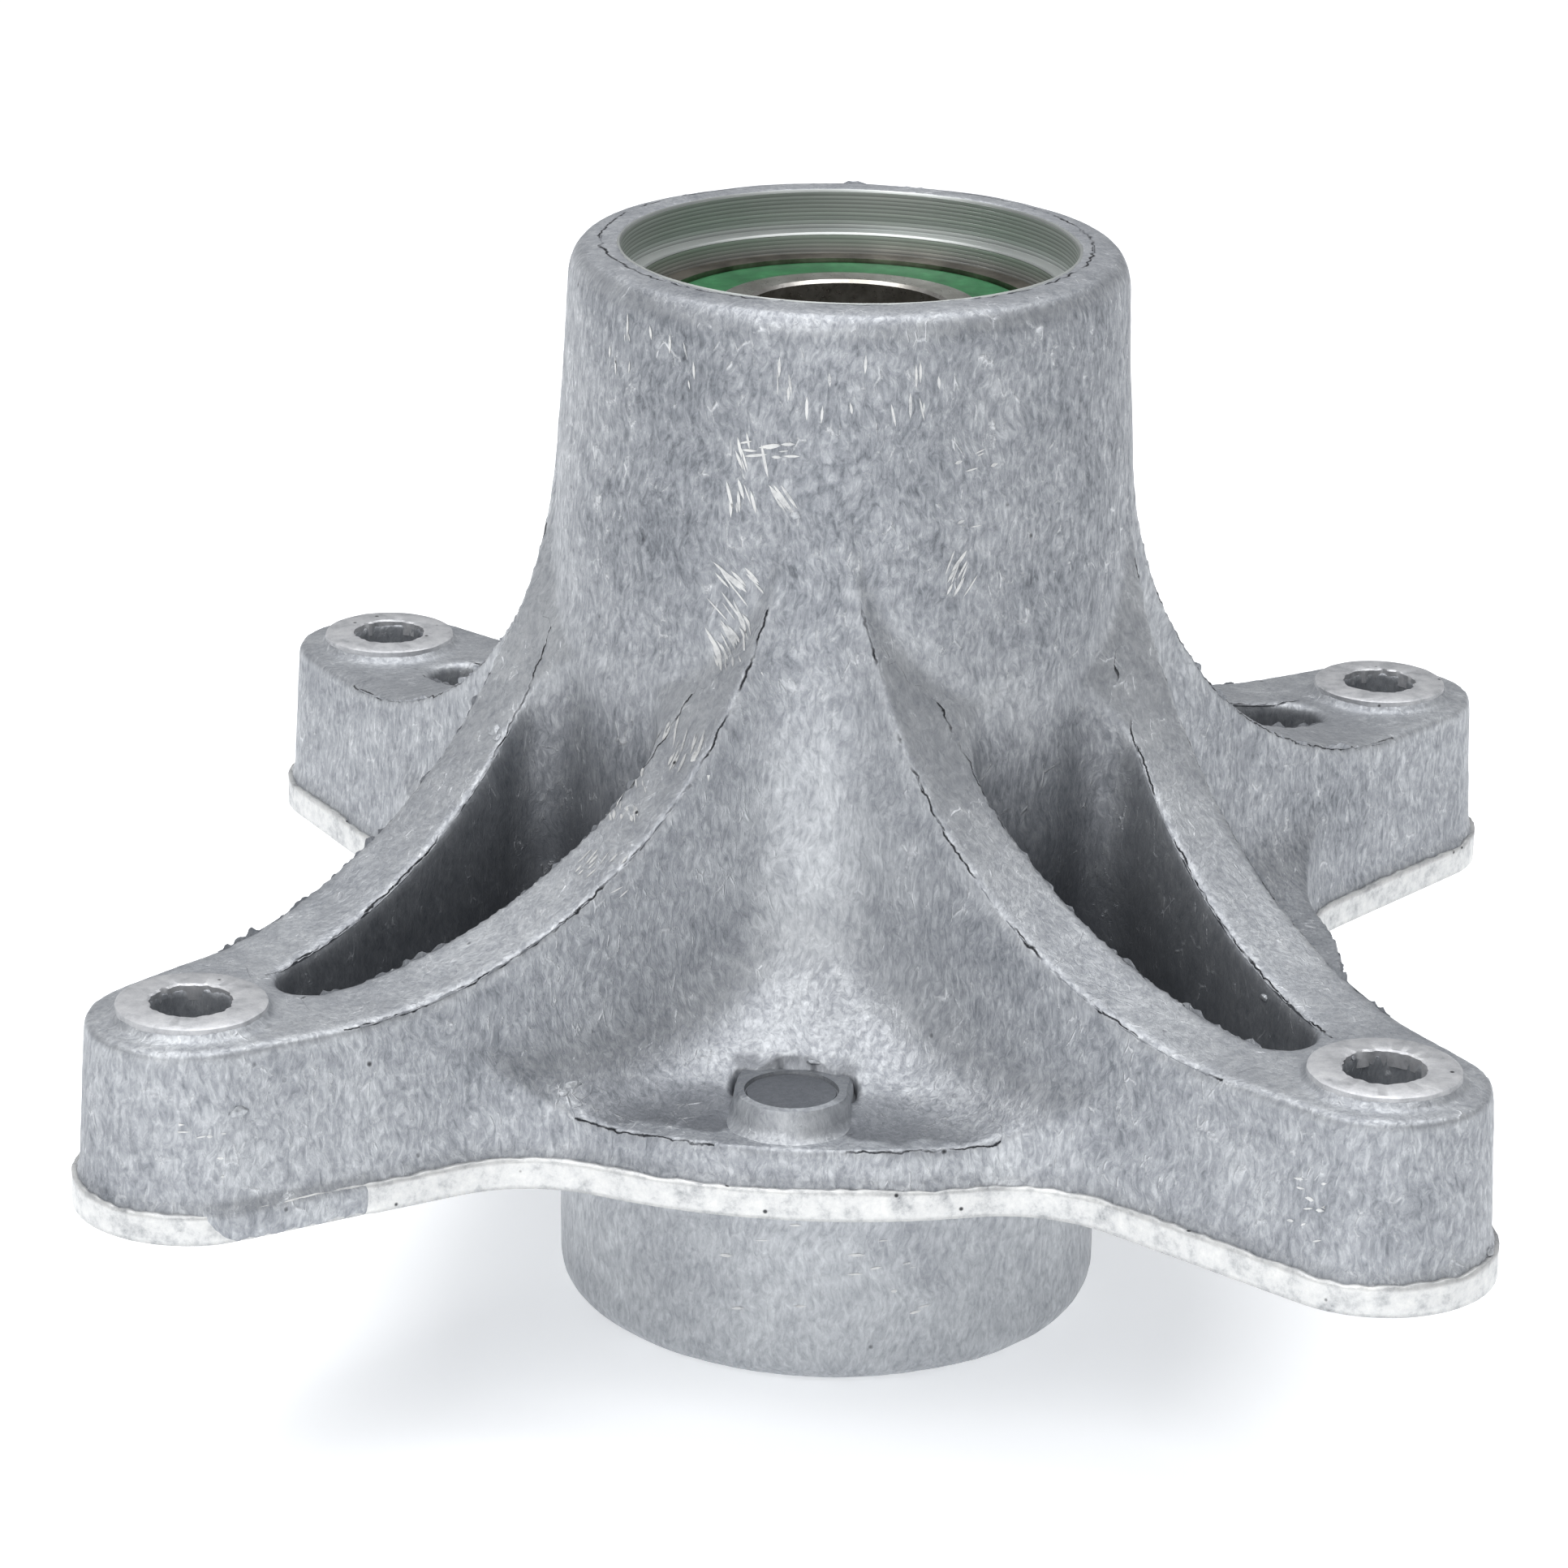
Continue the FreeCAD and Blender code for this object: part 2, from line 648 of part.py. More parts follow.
def ball_place(number):
    angle = f"(360 / ball_count * {number})"
    return f"{BALL_PITCH} * cos({angle} * 1 deg)", f"{BALL_PITCH} * sin({angle} * 1 deg)"


def ball(prefix, number, base):
    return set_primitive("Sphere", f"{prefix}_ball_{number + 1}", {"Radius": "ball_radius"},
                         (*ball_place(number), f"{base} + {MIDDLE}"))


def half_cage(prefix, side, base):
    """Half of a pressed ribbon cage: a flat band that rises over each ball in a round pocket."""
    label = f"{prefix}_cage_{side}"
    middle = f"({base} + {MIDDLE})"
    pocket_radius = "(ball_radius + cage_ball_gap)"
    reach = f"({pocket_radius} + cage_thickness)"
    low = middle if side == "top" else f"({middle} - {reach} * 2)"
    flat_low = middle if side == "top" else f"({middle} - cage_thickness)"
    shells = []
    hollows = []
    for number in range(int(value_of("ball_count"))):
        spot = (*ball_place(number), middle)
        shells.append(set_primitive("Sphere", f"{label}_shell_{number + 1}", {"Radius": reach}, spot))
        hollows.append(set_primitive(
            "Sphere", f"{label}_hollow_{number + 1}", {"Radius": pocket_radius}, spot))
    band = tube_of(f"{label}_band", CAGE_OUTSIDE, CAGE_INSIDE, low, f"{reach} * 2")
    domes = doc.addObject("Part::MultiFuse", f"{label}_domes")
    domes.Shapes = shells
    raised = doc.addObject("Part::Common", f"{label}_raised")
    raised.Base = band
    raised.Tool = domes
    flat = tube_of(f"{label}_flat", CAGE_OUTSIDE, CAGE_INSIDE, flat_low, "cage_thickness")
    whole = doc.addObject("Part::MultiFuse", f"{label}_whole")
    whole.Shapes = [raised, flat]
    balls = doc.addObject("Part::MultiFuse", f"{label}_hollows")
    balls.Shapes = hollows
    return cut_of(label, whole, balls)


parts = [housing]
for prefix, base in (("upper_bearing", UPPER_BEARING_BASE), ("lower_bearing", LOWER_BEARING_BASE)):
    parts.append(outer_ring(prefix, base))
    parts.append(inner_ring(prefix, base))
    parts.append(seal(prefix, "top", base))
    parts.append(seal(prefix, "bottom", base))
    parts.append(half_cage(prefix, "top", base))
    parts.append(half_cage(prefix, "bottom", base))
    for number in range(int(value_of("ball_count"))):
        parts.append(ball(prefix, number, base))

# Spacer tube, standing on the lower inner ring

SPACER_BASE = f"({LOWER_BEARING_BASE} + bearing_width)"
parts.append(tube_of("bearing_spacer_tube", f"{INNER_SHOULDER} - spacer_shoulder_step",
                     "bearing_bore_radius + spacer_bore_clearance", SPACER_BASE,
                     f"{UPPER_BEARING_BASE} - {SPACER_BASE} - spacer_end_gap"))

doc.recompute()

for item in doc.Objects:
    if "Invalid" in item.State or "Error" in item.State:
        raise RuntimeError(f"{item.Label} failed: {item.State}")

os.makedirs("parts", exist_ok=True)
for part in parts:
    shape = part.Shape
    if shape.isNull() or not shape.isValid():
        raise RuntimeError(f"{part.Label} has no valid shape")
    shape.exportStep(f"parts/{part.Label}.step")
    print(f"{part.Label}: {shape.Volume:.1f} mm3, {len(shape.Solids)} solid")
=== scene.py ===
import math
import random

import bmesh
import bpy
from mathutils import Matrix, Vector, noise
from mathutils.bvhtree import BVHTree


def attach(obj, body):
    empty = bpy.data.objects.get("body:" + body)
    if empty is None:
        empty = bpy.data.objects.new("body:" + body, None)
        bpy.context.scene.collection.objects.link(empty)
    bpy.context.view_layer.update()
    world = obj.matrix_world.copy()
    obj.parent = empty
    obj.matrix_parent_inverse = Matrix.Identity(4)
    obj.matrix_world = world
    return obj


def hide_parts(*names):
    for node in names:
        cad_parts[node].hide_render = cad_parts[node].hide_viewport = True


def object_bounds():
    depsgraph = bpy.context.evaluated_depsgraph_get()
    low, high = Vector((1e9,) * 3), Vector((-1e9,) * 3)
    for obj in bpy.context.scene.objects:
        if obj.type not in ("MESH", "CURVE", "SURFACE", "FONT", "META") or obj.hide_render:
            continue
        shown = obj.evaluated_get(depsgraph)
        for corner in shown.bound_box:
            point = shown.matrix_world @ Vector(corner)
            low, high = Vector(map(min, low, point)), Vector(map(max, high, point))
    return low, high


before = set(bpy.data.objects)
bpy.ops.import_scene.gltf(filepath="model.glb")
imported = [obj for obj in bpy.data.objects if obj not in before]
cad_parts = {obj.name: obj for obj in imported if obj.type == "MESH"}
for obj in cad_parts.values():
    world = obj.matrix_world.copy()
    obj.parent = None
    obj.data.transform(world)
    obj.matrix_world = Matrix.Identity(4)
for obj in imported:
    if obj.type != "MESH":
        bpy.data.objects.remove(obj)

CAD_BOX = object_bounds()
MM = 0.001

# Sizes in millimetres, as the casting has them; z = 0 is the flange's underside

HUB_TOP = 77.0
HUB_TOP_RADIUS = 26.1
FLANGE_THICKNESS = 6.5
FLANGE_RADIUS = 50.2
LIP_HEIGHT = 2.9
SPIGOT_BOTTOM = -28.4
DRAFT = math.tan(math.radians(3.0))

SCREW_SPOTS = [(x * 52.75, y * 52.75) for x, y in ((1, 1), (-1, 1), (-1, -1), (1, -1))]
SCREW_REACH = 52.75 * math.sqrt(2)
SCREW_HOLE_RADIUS = 3.75
PAD_FACE = 18.95
PAD_RADIUS = 6.8

ARM_TOP = 17.7
ARM_SINE, ARM_COSINE = math.sin(math.radians(9.5)), math.cos(math.radians(9.5))
ARM_WALL = SCREW_REACH * ARM_SINE + 10.5
POCKET_WALL = (SCREW_REACH - 13.4) * ARM_SINE + 3.1
POCKET_FLOOR = 7.0
RIB_ARC_RADIUS = 47.0
RIB_ARC_REACH = SCREW_REACH - 7.1
RIB_ARC_HEIGHT = ARM_TOP + RIB_ARC_RADIUS

SEAT_RADIUS = 20.0
COUNTERBORE_RADIUS = 21.4
COUNTERBORE_FLOOR = 73.1
UPPER_BEARING_BASE = 59.1
LOWER_BEARING_BASE = -25.4
BEARING_WIDTH = 12.0

BOSS_REACH = 42.5
BOSS_RADIUS = 4.9
BOSS_TOP = 9.2

# The ragged flash line on the hub's rim isn't quite centred on the bore
FLASH_CENTRE = (-0.35, 1.1)
FLASH_RADIUS = 23.1

FAR = 9.0   # stands for "no edge near here", in millimetres

random.seed(7)


# Colour and node helpers

def linear(hex_colour):
    """The linear colour of an sRGB hex value such as 8f949c."""
    channels = [int(hex_colour[i:i + 2], 16) / 255 for i in (0, 2, 4)]
    return (*[c / 12.92 if c <= 0.04045 else ((c + 0.055) / 1.055) ** 2.4 for c in channels], 1.0)


def add_node(tree, kind, inputs=None, **settings):
    """One node with its settings; each input is a value or another node's output."""
    made = tree.nodes.new(kind)
    for name, value in settings.items():
        setattr(made, name, value)
    for key, value in (inputs or {}).items():
        if isinstance(value, bpy.types.NodeSocket):
            tree.links.new(value, made.inputs[key])
        else:
            made.inputs[key].default_value = value
    return made


def new_material(name, metallic, roughness, colour=None):
    """A named material: its node tree, its shader and the object's own coordinates."""
    material = bpy.data.materials.new(name)
    material.use_nodes = True
    tree = material.node_tree
    shader = tree.nodes["Principled BSDF"]
    shader.inputs["Metallic"].default_value = metallic
    shader.inputs["Roughness"].default_value = roughness
    if colour:
        shader.inputs["Base Color"].default_value = linear(colour)
    coordinates = add_node(tree, "ShaderNodeTexCoord")
    return material, tree, shader, coordinates.outputs["Object"]


def per_mm(size):
    """The scale that makes a pattern's features about this many millimetres."""
    return 1.0 / (size * MM)


def set_ramp(ramp, stops):
    """Gives a colour ramp its (position, hex colour) stops."""
    elements = ramp.color_ramp.elements
    while len(elements) < len(stops):
        elements.new(0.5)
    for element, (position, colour) in zip(elements, stops):
        element.position = position
        element.color = linear(colour)


# Materials

def tumbled_cast_aluminium():
    """Die-cast aluminium tumbled with other castings. To the eye: blue grey metal, mottled in
    patches, covered in short pale strokes and dents, with cracked flash lines along its edges."""
    material, tree, shader, place = new_material("tumbled die-cast aluminium", 0.72, 0.5)

    # Strokes: half-millimetre grain, drawn out upwards and bent by a slow swirl
    swirl = add_node(tree, "ShaderNodeTexNoise", {"Vector": place, "Scale": per_mm(7.0),
                                                  "Detail": 2.0})
    push = add_node(tree, "ShaderNodeVectorMath", {0: swirl.outputs["Color"],
                                                   1: (0.5, 0.5, 0.5)}, operation="SUBTRACT")
    bend = add_node(tree, "ShaderNodeVectorMath", {0: push.outputs["Vector"], 1: (0.003,) * 3},
                    operation="MULTIPLY")
    bent = add_node(tree, "ShaderNodeVectorMath", {0: place, 1: bend.outputs["Vector"]},
                    operation="ADD")
    drawn = add_node(tree, "ShaderNodeMapping", {"Vector": bent.outputs["Vector"],
                                                 "Scale": (1.0, 1.0, 0.42)})
    strokes = add_node(tree, "ShaderNodeTexNoise",
                       {"Vector": drawn.outputs["Vector"], "Scale": per_mm(0.55), "Detail": 5.0,
                        "Roughness": 0.68, "Distortion": 0.5})
    mottle = add_node(tree, "ShaderNodeTexNoise", {"Vector": place, "Scale": per_mm(2.6),
                                                   "Detail": 6.0, "Roughness": 0.7})
    patches = add_node(tree, "ShaderNodeTexNoise", {"Vector": place, "Scale": per_mm(17.0),
                                                    "Detail": 3.0, "Roughness": 0.6})
    # The tumbled value carries wear and painted light together
    tumbled = add_node(tree, "ShaderNodeAttribute", attribute_name="tumbled")
    painted_shade = add_node(tree, "ShaderNodeAttribute", attribute_name="painted_shade")

    # One grey from the three, with more contrast where the casting was knocked about; the same value
    # also lifts or lowers the grey as painted light
    blend = add_node(tree, "ShaderNodeMix", {"Factor": 0.36, "A": strokes.outputs["Fac"],
                                             "B": mottle.outputs["Fac"]}, data_type="FLOAT")
    grey = add_node(tree, "ShaderNodeMix", {"Factor": 0.25, "A": blend.outputs["Result"],
                                            "B": patches.outputs["Fac"]}, data_type="FLOAT")
    centred = add_node(tree, "ShaderNodeMath", {0: grey.outputs["Result"], 1: 0.5},
                       operation="SUBTRACT")
    contrast = add_node(tree, "ShaderNodeMapRange", {"Value": tumbled.outputs["Fac"],
                                                     "To Min": 0.55, "To Max": 0.95})
    # Painted light: a low tumbled value lifts the skin's grey, a high one lowers it
    painted_light_lift = add_node(tree, "ShaderNodeMapRange", {"Value": tumbled.outputs["Fac"],
                                                 "To Min": 0.59, "To Max": 0.49})
    spread = add_node(tree, "ShaderNodeMath", {0: centred.outputs["Value"],
                                               1: contrast.outputs["Result"],
                                               2: painted_light_lift.outputs["Result"]},
                      operation="MULTIPLY_ADD")
    skin = add_node(tree, "ShaderNodeValToRGB", {"Fac": spread.outputs["Value"]})
    set_ramp(skin, [(0.33, "55585e"), (0.43, "83878d"), (0.53, "a3a6ab"), (0.63, "c4c7ca"),
                    (0.74, "e6e8ea")])

    # Curled bright nicks, one to two millimetres long, where the blotches let them through
    cells = add_node(tree, "ShaderNodeTexVoronoi",
                     {"Vector": drawn.outputs["Vector"], "Scale": per_mm(1.6)},
                     feature="DISTANCE_TO_EDGE")
    thin = add_node(tree, "ShaderNodeMapRange", {"Value": cells.outputs["Distance"],
                                                 "From Min": 0.0, "From Max": 0.06,
                                                 "To Min": 1.0, "To Max": 0.0})
    allowed = add_node(tree, "ShaderNodeMapRange", {"Value": mottle.outputs["Fac"],
                                                    "From Min": 0.55, "From Max": 0.64})
    nicks = add_node(tree, "ShaderNodeMath", {0: thin.outputs["Result"],
                                              1: allowed.outputs["Result"]}, operation="MULTIPLY")
    worn = add_node(tree, "ShaderNodeMath", {0: nicks.outputs["Value"],
                                             1: tumbled.outputs["Fac"]}, operation="MULTIPLY")
    # The mix node keeps its colour pair at places 6 and 7, and its mixed colour at 2
    nicked = add_node(tree, "ShaderNodeMix", {0: worn.outputs["Value"], 6: skin.outputs["Color"],
                                              7: linear("dfe1e4")}, data_type="RGBA")

    # Pin-head pits, a fifth of a millimetre, few and dark
    holes = add_node(tree, "ShaderNodeTexVoronoi", {"Vector": place, "Scale": per_mm(5.0)})
    spots = add_node(tree, "ShaderNodeMapRange", {"Value": holes.outputs["Distance"],
                                                  "From Min": 0.02, "From Max": 0.06,
                                                  "To Min": 0.9, "To Max": 0.0})
    some = add_node(tree, "ShaderNodeMapRange", {"Value": patches.outputs["Fac"],
                                                 "From Min": 0.5, "From Max": 0.6})
    pits = add_node(tree, "ShaderNodeMath", {0: spots.outputs["Result"],
                                             1: some.outputs["Result"]}, operation="MULTIPLY")

    # Cracked flash: a broken dark line on each rib edge and on the flange's crease
    edge = add_node(tree, "ShaderNodeAttribute", attribute_name="edge_side")
    wander = add_node(tree, "ShaderNodeTexNoise", {"Vector": place, "Scale": per_mm(1.6),
                                                   "Detail": 4.0})
    jitter = add_node(tree, "ShaderNodeMath", {0: wander.outputs["Fac"], 1: 1.5, 2: -0.75},
                      operation="MULTIPLY_ADD")
    off = add_node(tree, "ShaderNodeMath", {0: edge.outputs["Fac"], 1: jitter.outputs["Value"]},
                   operation="ADD")
    away = add_node(tree, "ShaderNodeMath", {0: off.outputs["Value"]}, operation="ABSOLUTE")
    line = add_node(tree, "ShaderNodeMapRange", {"Value": away.outputs["Value"],
                                                 "From Min": 0.05, "From Max": 0.17,
                                                 "To Min": 1.0, "To Max": 0.0})
    gaps = add_node(tree, "ShaderNodeTexNoise", {"Vector": place, "Scale": per_mm(4.5),
                                                 "Detail": 3.0})
    broken = add_node(tree, "ShaderNodeMapRange", {"Value": gaps.outputs["Fac"],
                                                   "From Min": 0.42, "From Max": 0.52})
    crack = add_node(tree, "ShaderNodeMath", {0: line.outputs["Result"],
                                              1: broken.outputs["Result"]}, operation="MULTIPLY")
    dark = add_node(tree, "ShaderNodeMath", {0: crack.outputs["Value"],
                                             1: pits.outputs["Value"]}, operation="MAXIMUM")
    marked = add_node(tree, "ShaderNodeMix", {0: dark.outputs["Value"], 6: nicked.outputs[2],
                                              7: linear("26282c")}, data_type="RGBA")

    # Painted shade: the skin darkens towards a deep grey by this value, in the pockets, in and beside
    # the boss's recess, on the boss and on the flash fins
    mould = add_node(tree, "ShaderNodeMath", {0: painted_shade.outputs["Fac"], 1: 0.64},
                     operation="MULTIPLY")
    shaded = add_node(tree, "ShaderNodeMix", {0: mould.outputs["Value"], 6: marked.outputs[2],
                                              7: linear("5a5d63")}, data_type="RGBA")
    tree.links.new(shaded.outputs[2], shader.inputs["Base Color"])

    rough = add_node(tree, "ShaderNodeMapRange", {"Value": strokes.outputs["Fac"],
                                                  "From Min": 0.3, "From Max": 0.7,
                                                  "To Min": 0.62, "To Max": 0.42})
    tree.links.new(rough.outputs["Result"], shader.inputs["Roughness"])
    relief = add_node(tree, "ShaderNodeMath", {0: strokes.outputs["Fac"],
                                               1: contrast.outputs["Result"],
                                               2: worn.outputs["Value"]},
                      operation="MULTIPLY_ADD")
    sunk = add_node(tree, "ShaderNodeMath", {0: relief.outputs["Value"],
                                             1: dark.outputs["Value"]}, operation="SUBTRACT")
    bump = add_node(tree, "ShaderNodeBump", {"Height": sunk.outputs["Value"],
                                             "Distance": 0.16 * MM, "Strength": 0.7})
    tree.links.new(bump.outputs["Normal"], shader.inputs["Normal"])
    return material


def sheared_aluminium(name, greys):
    """Aluminium cut by the trim tool. To the eye: pale bare metal with grey smears and
    black specks; nearly white where it was torn, a cool grey where it was only faced."""
    material, tree, shader, place = new_material(name, 0.45, 0.42)
    smear = add_node(tree, "ShaderNodeTexNoise", {"Vector": place, "Scale": per_mm(2.2),
                                                  "Detail": 7.0, "Roughness": 0.75})
    colour = add_node(tree, "ShaderNodeValToRGB", {"Fac": smear.outputs["Fac"]})
    set_ramp(colour, list(zip((0.27, 0.37, 0.50, 0.72), greys)))
    specks = add_node(tree, "ShaderNodeTexVoronoi", {"Vector": place, "Scale": per_mm(2.6)})
    speck = add_node(tree, "ShaderNodeMapRange", {"Value": specks.outputs["Distance"],
                                                  "From Min": 0.05, "From Max": 0.10,
                                                  "To Min": 1.0, "To Max": 0.0})
    marked = add_node(tree, "ShaderNodeMix", {0: speck.outputs["Result"],
                                              6: colour.outputs["Color"],
                                              7: linear("3c3d40")}, data_type="RGBA")
    tree.links.new(marked.outputs[2], shader.inputs["Base Color"])
    bump = add_node(tree, "ShaderNodeBump", {"Height": smear.outputs["Fac"],
                                             "Distance": 0.15 * MM, "Strength": 0.6})
    tree.links.new(bump.outputs["Normal"], shader.inputs["Normal"])
    return material


def turned_aluminium():
    """Aluminium bored on a lathe. To the eye: a clean grey wall ruled with fine level grooves,
    drawn 0.4 mm apart, a little coarser than real, so that they show."""
    material, tree, shader, place = new_material("lathe-turned aluminium", 0.85, 0.4)
    level = add_node(tree, "ShaderNodeMapping", {"Vector": place, "Scale": (0.0, 0.0, 1.0)})
    grooves = add_node(tree, "ShaderNodeTexWave",
                       {"Vector": level.outputs["Vector"], "Scale": per_mm(0.4) * math.tau / 20.0,
                        "Distortion": 0.0},
                       wave_type="BANDS", bands_direction="Z", wave_profile="SAW")
    depth = add_node(tree, "ShaderNodeTexNoise", {"Vector": level.outputs["Vector"],
                                                  "Scale": per_mm(0.5), "Detail": 3.0})
    ruled = add_node(tree, "ShaderNodeMath", {0: grooves.outputs["Fac"],
                                              1: depth.outputs["Fac"]}, operation="MULTIPLY")
    colour = add_node(tree, "ShaderNodeValToRGB", {"Fac": ruled.outputs["Value"]})
    set_ramp(colour, [(0.05, "9a9e9c"), (0.3, "c6cac8"), (0.6, "e0e3e1")])
    tree.links.new(colour.outputs["Color"], shader.inputs["Base Color"])
    stains = add_node(tree, "ShaderNodeTexNoise", {"Vector": place, "Scale": per_mm(4.0),
                                                   "Detail": 5.0, "Roughness": 0.65})
    rough = add_node(tree, "ShaderNodeMapRange", {"Value": stains.outputs["Fac"],
                                                  "To Min": 0.34, "To Max": 0.52})
    tree.links.new(rough.outputs["Result"], shader.inputs["Roughness"])
    bump = add_node(tree, "ShaderNodeBump", {"Height": ruled.outputs["Value"],
                                             "Distance": 0.05 * MM, "Strength": 0.6})
    tree.links.new(bump.outputs["Normal"], shader.inputs["Normal"])
    return material


def ground_steel(name, pale, deep, roughness):
    """Ground steel under a film of preserving oil. To the eye: satin metal, slightly brown in
    drifts, with faint wear."""
    material, tree, shader, place = new_material(name, 1.0, roughness)
    film = add_node(tree, "ShaderNodeTexNoise", {"Vector": place, "Scale": per_mm(3.0),
                                                 "Detail": 5.0, "Roughness": 0.6})
    colour = add_node(tree, "ShaderNodeValToRGB", {"Fac": film.outputs["Fac"]})
    set_ramp(colour, [(0.35, deep), (0.65, pale)])
    tree.links.new(colour.outputs["Color"], shader.inputs["Base Color"])
    grain = add_node(tree, "ShaderNodeTexNoise", {"Vector": place, "Scale": per_mm(0.4),
                                                  "Detail": 4.0})
    rough = add_node(tree, "ShaderNodeMapRange", {"Value": grain.outputs["Fac"],
                                                  "To Min": roughness - 0.09,
                                                  "To Max": roughness + 0.09})
    tree.links.new(rough.outputs["Result"], shader.inputs["Roughness"])
    return material


def moulded_nitrile():
    """Nitrile rubber moulded on a steel washer. To the eye: flat mid green, satin, a little
    dusty, with the mould's faint grain."""
    material, tree, shader, place = new_material("green moulded nitrile rubber", 0.0, 0.42)
    dust = add_node(tree, "ShaderNodeTexNoise", {"Vector": place, "Scale": per_mm(2.4),
                                                 "Detail": 5.0, "Roughness": 0.65})
    colour = add_node(tree, "ShaderNodeValToRGB", {"Fac": dust.outputs["Fac"]})
    set_ramp(colour, [(0.35, "1c5431"), (0.6, "28683e"), (0.8, "478a5c")])
    tree.links.new(colour.outputs["Color"], shader.inputs["Base Color"])
    grain = add_node(tree, "ShaderNodeTexNoise", {"Vector": place, "Scale": per_mm(0.35),
                                                  "Detail": 3.0})
    bump = add_node(tree, "ShaderNodeBump", {"Height": grain.outputs["Fac"],
                                             "Distance": 0.03 * MM, "Strength": 0.5})
    tree.links.new(bump.outputs["Normal"], shader.inputs["Normal"])
    return material


CAST = tumbled_cast_aluminium()
SHEARED = sheared_aluminium("sheared bright aluminium", ("77797d", "b0b2b4", "cfd0d0", "e4e4e2"))
FACED = sheared_aluminium("faced pad aluminium", ("85878b", "abadb0", "c2c3c6", "d8d9da"))
TURNED = turned_aluminium()
OUTER_RING = ground_steel("outer ring steel, oiled", "a39a90", "6f675f", 0.34)
INNER_RING = ground_steel("inner ring steel, ground", "d6d3ce", "a9a59e", 0.30)
BALL = ground_steel("polished ball steel", "dcdcdc", "bebebe", 0.14)
CAGE = ground_steel("pressed cage steel", "a7a59f", "7d7b76", 0.38)
SPACER = ground_steel("drawn tube steel", "8f8d88", "6b6964", 0.36)
SEAL = moulded_nitrile()


# Mesh helpers

def finished(bm, name, material, body, smooth=True):
    """A bmesh as an object that rides on a body."""
    mesh = bpy.data.meshes.new(name)
    bm.to_mesh(mesh)
    bm.free()
    mesh.polygons.foreach_set("use_smooth", [smooth] * len(mesh.polygons))
    made = bpy.data.objects.new(name, mesh)
    bpy.context.scene.collection.objects.link(made)
    mesh.materials.append(material)
    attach(made, body)
    return made


def apply_modifiers(made):
    """Replaces an object's mesh by what its modifiers make of it."""
    graph = bpy.context.evaluated_depsgraph_get()
    mesh = bpy.data.meshes.new_from_object(made.evaluated_get(graph), depsgraph=graph)
    made.modifiers.clear()
    made.data = mesh


def sharpen(made, degrees=32):
    """Marks edges steeper than an angle as sharp, for crisp machined corners."""
    bm = bmesh.new()
    bm.from_mesh(made.data)
    for edge in bm.edges:
        edge.smooth = not (edge.is_manifold and edge.calc_face_angle() > math.radians(degrees))
    bm.to_mesh(made.data)
    bm.free()


def turned_ring(bm, profile, centre=(0.0, 0.0), steps=160):
    """Spins a closed (radius, height) outline in millimetres about an upright axis."""
    corners = [bm.verts.new(((centre[0] + r) * MM, centre[1] * MM, z * MM)) for r, z in profile]
    edges = [bm.edges.new((a, b)) for a, b in zip(corners, corners[1:] + corners[:1])]
    made = bmesh.ops.spin(bm, geom=corners + edges, cent=Vector((*centre, 0.0)) * MM,
                          axis=(0, 0, 1), angle=math.tau, steps=steps, use_merge=True,
                          use_normal_flip=False, use_duplicate=False)
    return made


def close_up(bm):
    """Joins doubled points and turns every face outwards."""
    bmesh.ops.remove_doubles(bm, verts=bm.verts, dist=1e-7)
    bmesh.ops.recalc_face_normals(bm, faces=bm.faces)


def set_skin(made, edge, painted_shade_rule, wear):
    """Gives a cast piece what its material reads, each from a function of the place in mm."""
    mesh = made.data
    places = [vertex.co / MM for vertex in mesh.vertices]
    # The shade value is painted shade; the tumbled value is wear and painted light together
    for name, rule in (("edge_side", edge), ("painted_shade", painted_shade_rule), ("tumbled", wear)):
        attribute = mesh.attributes.new(name, "FLOAT", "POINT")
        attribute.data.foreach_set("value", [rule(place) for place in places])


# Where a place lies on the casting, all in millimetres

def arm_place(place):
    """How far along an arm, how far across it, and how high a place is."""
    x, y = abs(place.x), abs(place.y)
    return (x + y) / math.sqrt(2), abs(x - y) / math.sqrt(2), place.z


def above_rib(u, z):
    """Height above a rib's top: below zero inside the metal."""
    if u >= RIB_ARC_REACH:
        return z - ARM_TOP
    return RIB_ARC_RADIUS - math.hypot(RIB_ARC_REACH - u, RIB_ARC_HEIGHT - z)


def flange_turn(place):
    """Degrees round the axis from the middle of the nearest open side of the flange."""
    x, y = abs(place.x), abs(place.y)
    return math.degrees(math.atan2(min(x, y), max(x, y)))


def hub_radius(z):
    return HUB_TOP_RADIUS + (HUB_TOP - z) * DRAFT


def edge_side(place):
    """Distance from the nearest flash-bearing edge, below zero on its upper face."""
    radius = math.hypot(place.x, place.y)
    if place.z > 75.5:
        return math.hypot(place.x - FLASH_CENTRE[0], place.y - FLASH_CENTRE[1]) - FLASH_RADIUS
    if abs(place.x + 0.6) < 5.6 and place.y < -40:
        return FAR
    if 46 < radius < 52.5 and 4.0 < place.z < 9.0 and flange_turn(place) < 23:
        return radius - (FLANGE_RADIUS - place.z * DRAFT) - (place.z - FLANGE_THICKNESS)
    u, v, z = arm_place(place)
    if z < 12 or radius < hub_radius(z) + 0.6 or u > 66:
        return FAR
    across = v * ARM_COSINE + u * ARM_SINE
    above = above_rib(u, z)
    outer_wall, inner_wall = ARM_WALL - z * DRAFT, POCKET_WALL + (z - POCKET_FLOOR) * DRAFT
    if across > (outer_wall + inner_wall) / 2:
        return across - outer_wall - above
    return inner_wall - across - above


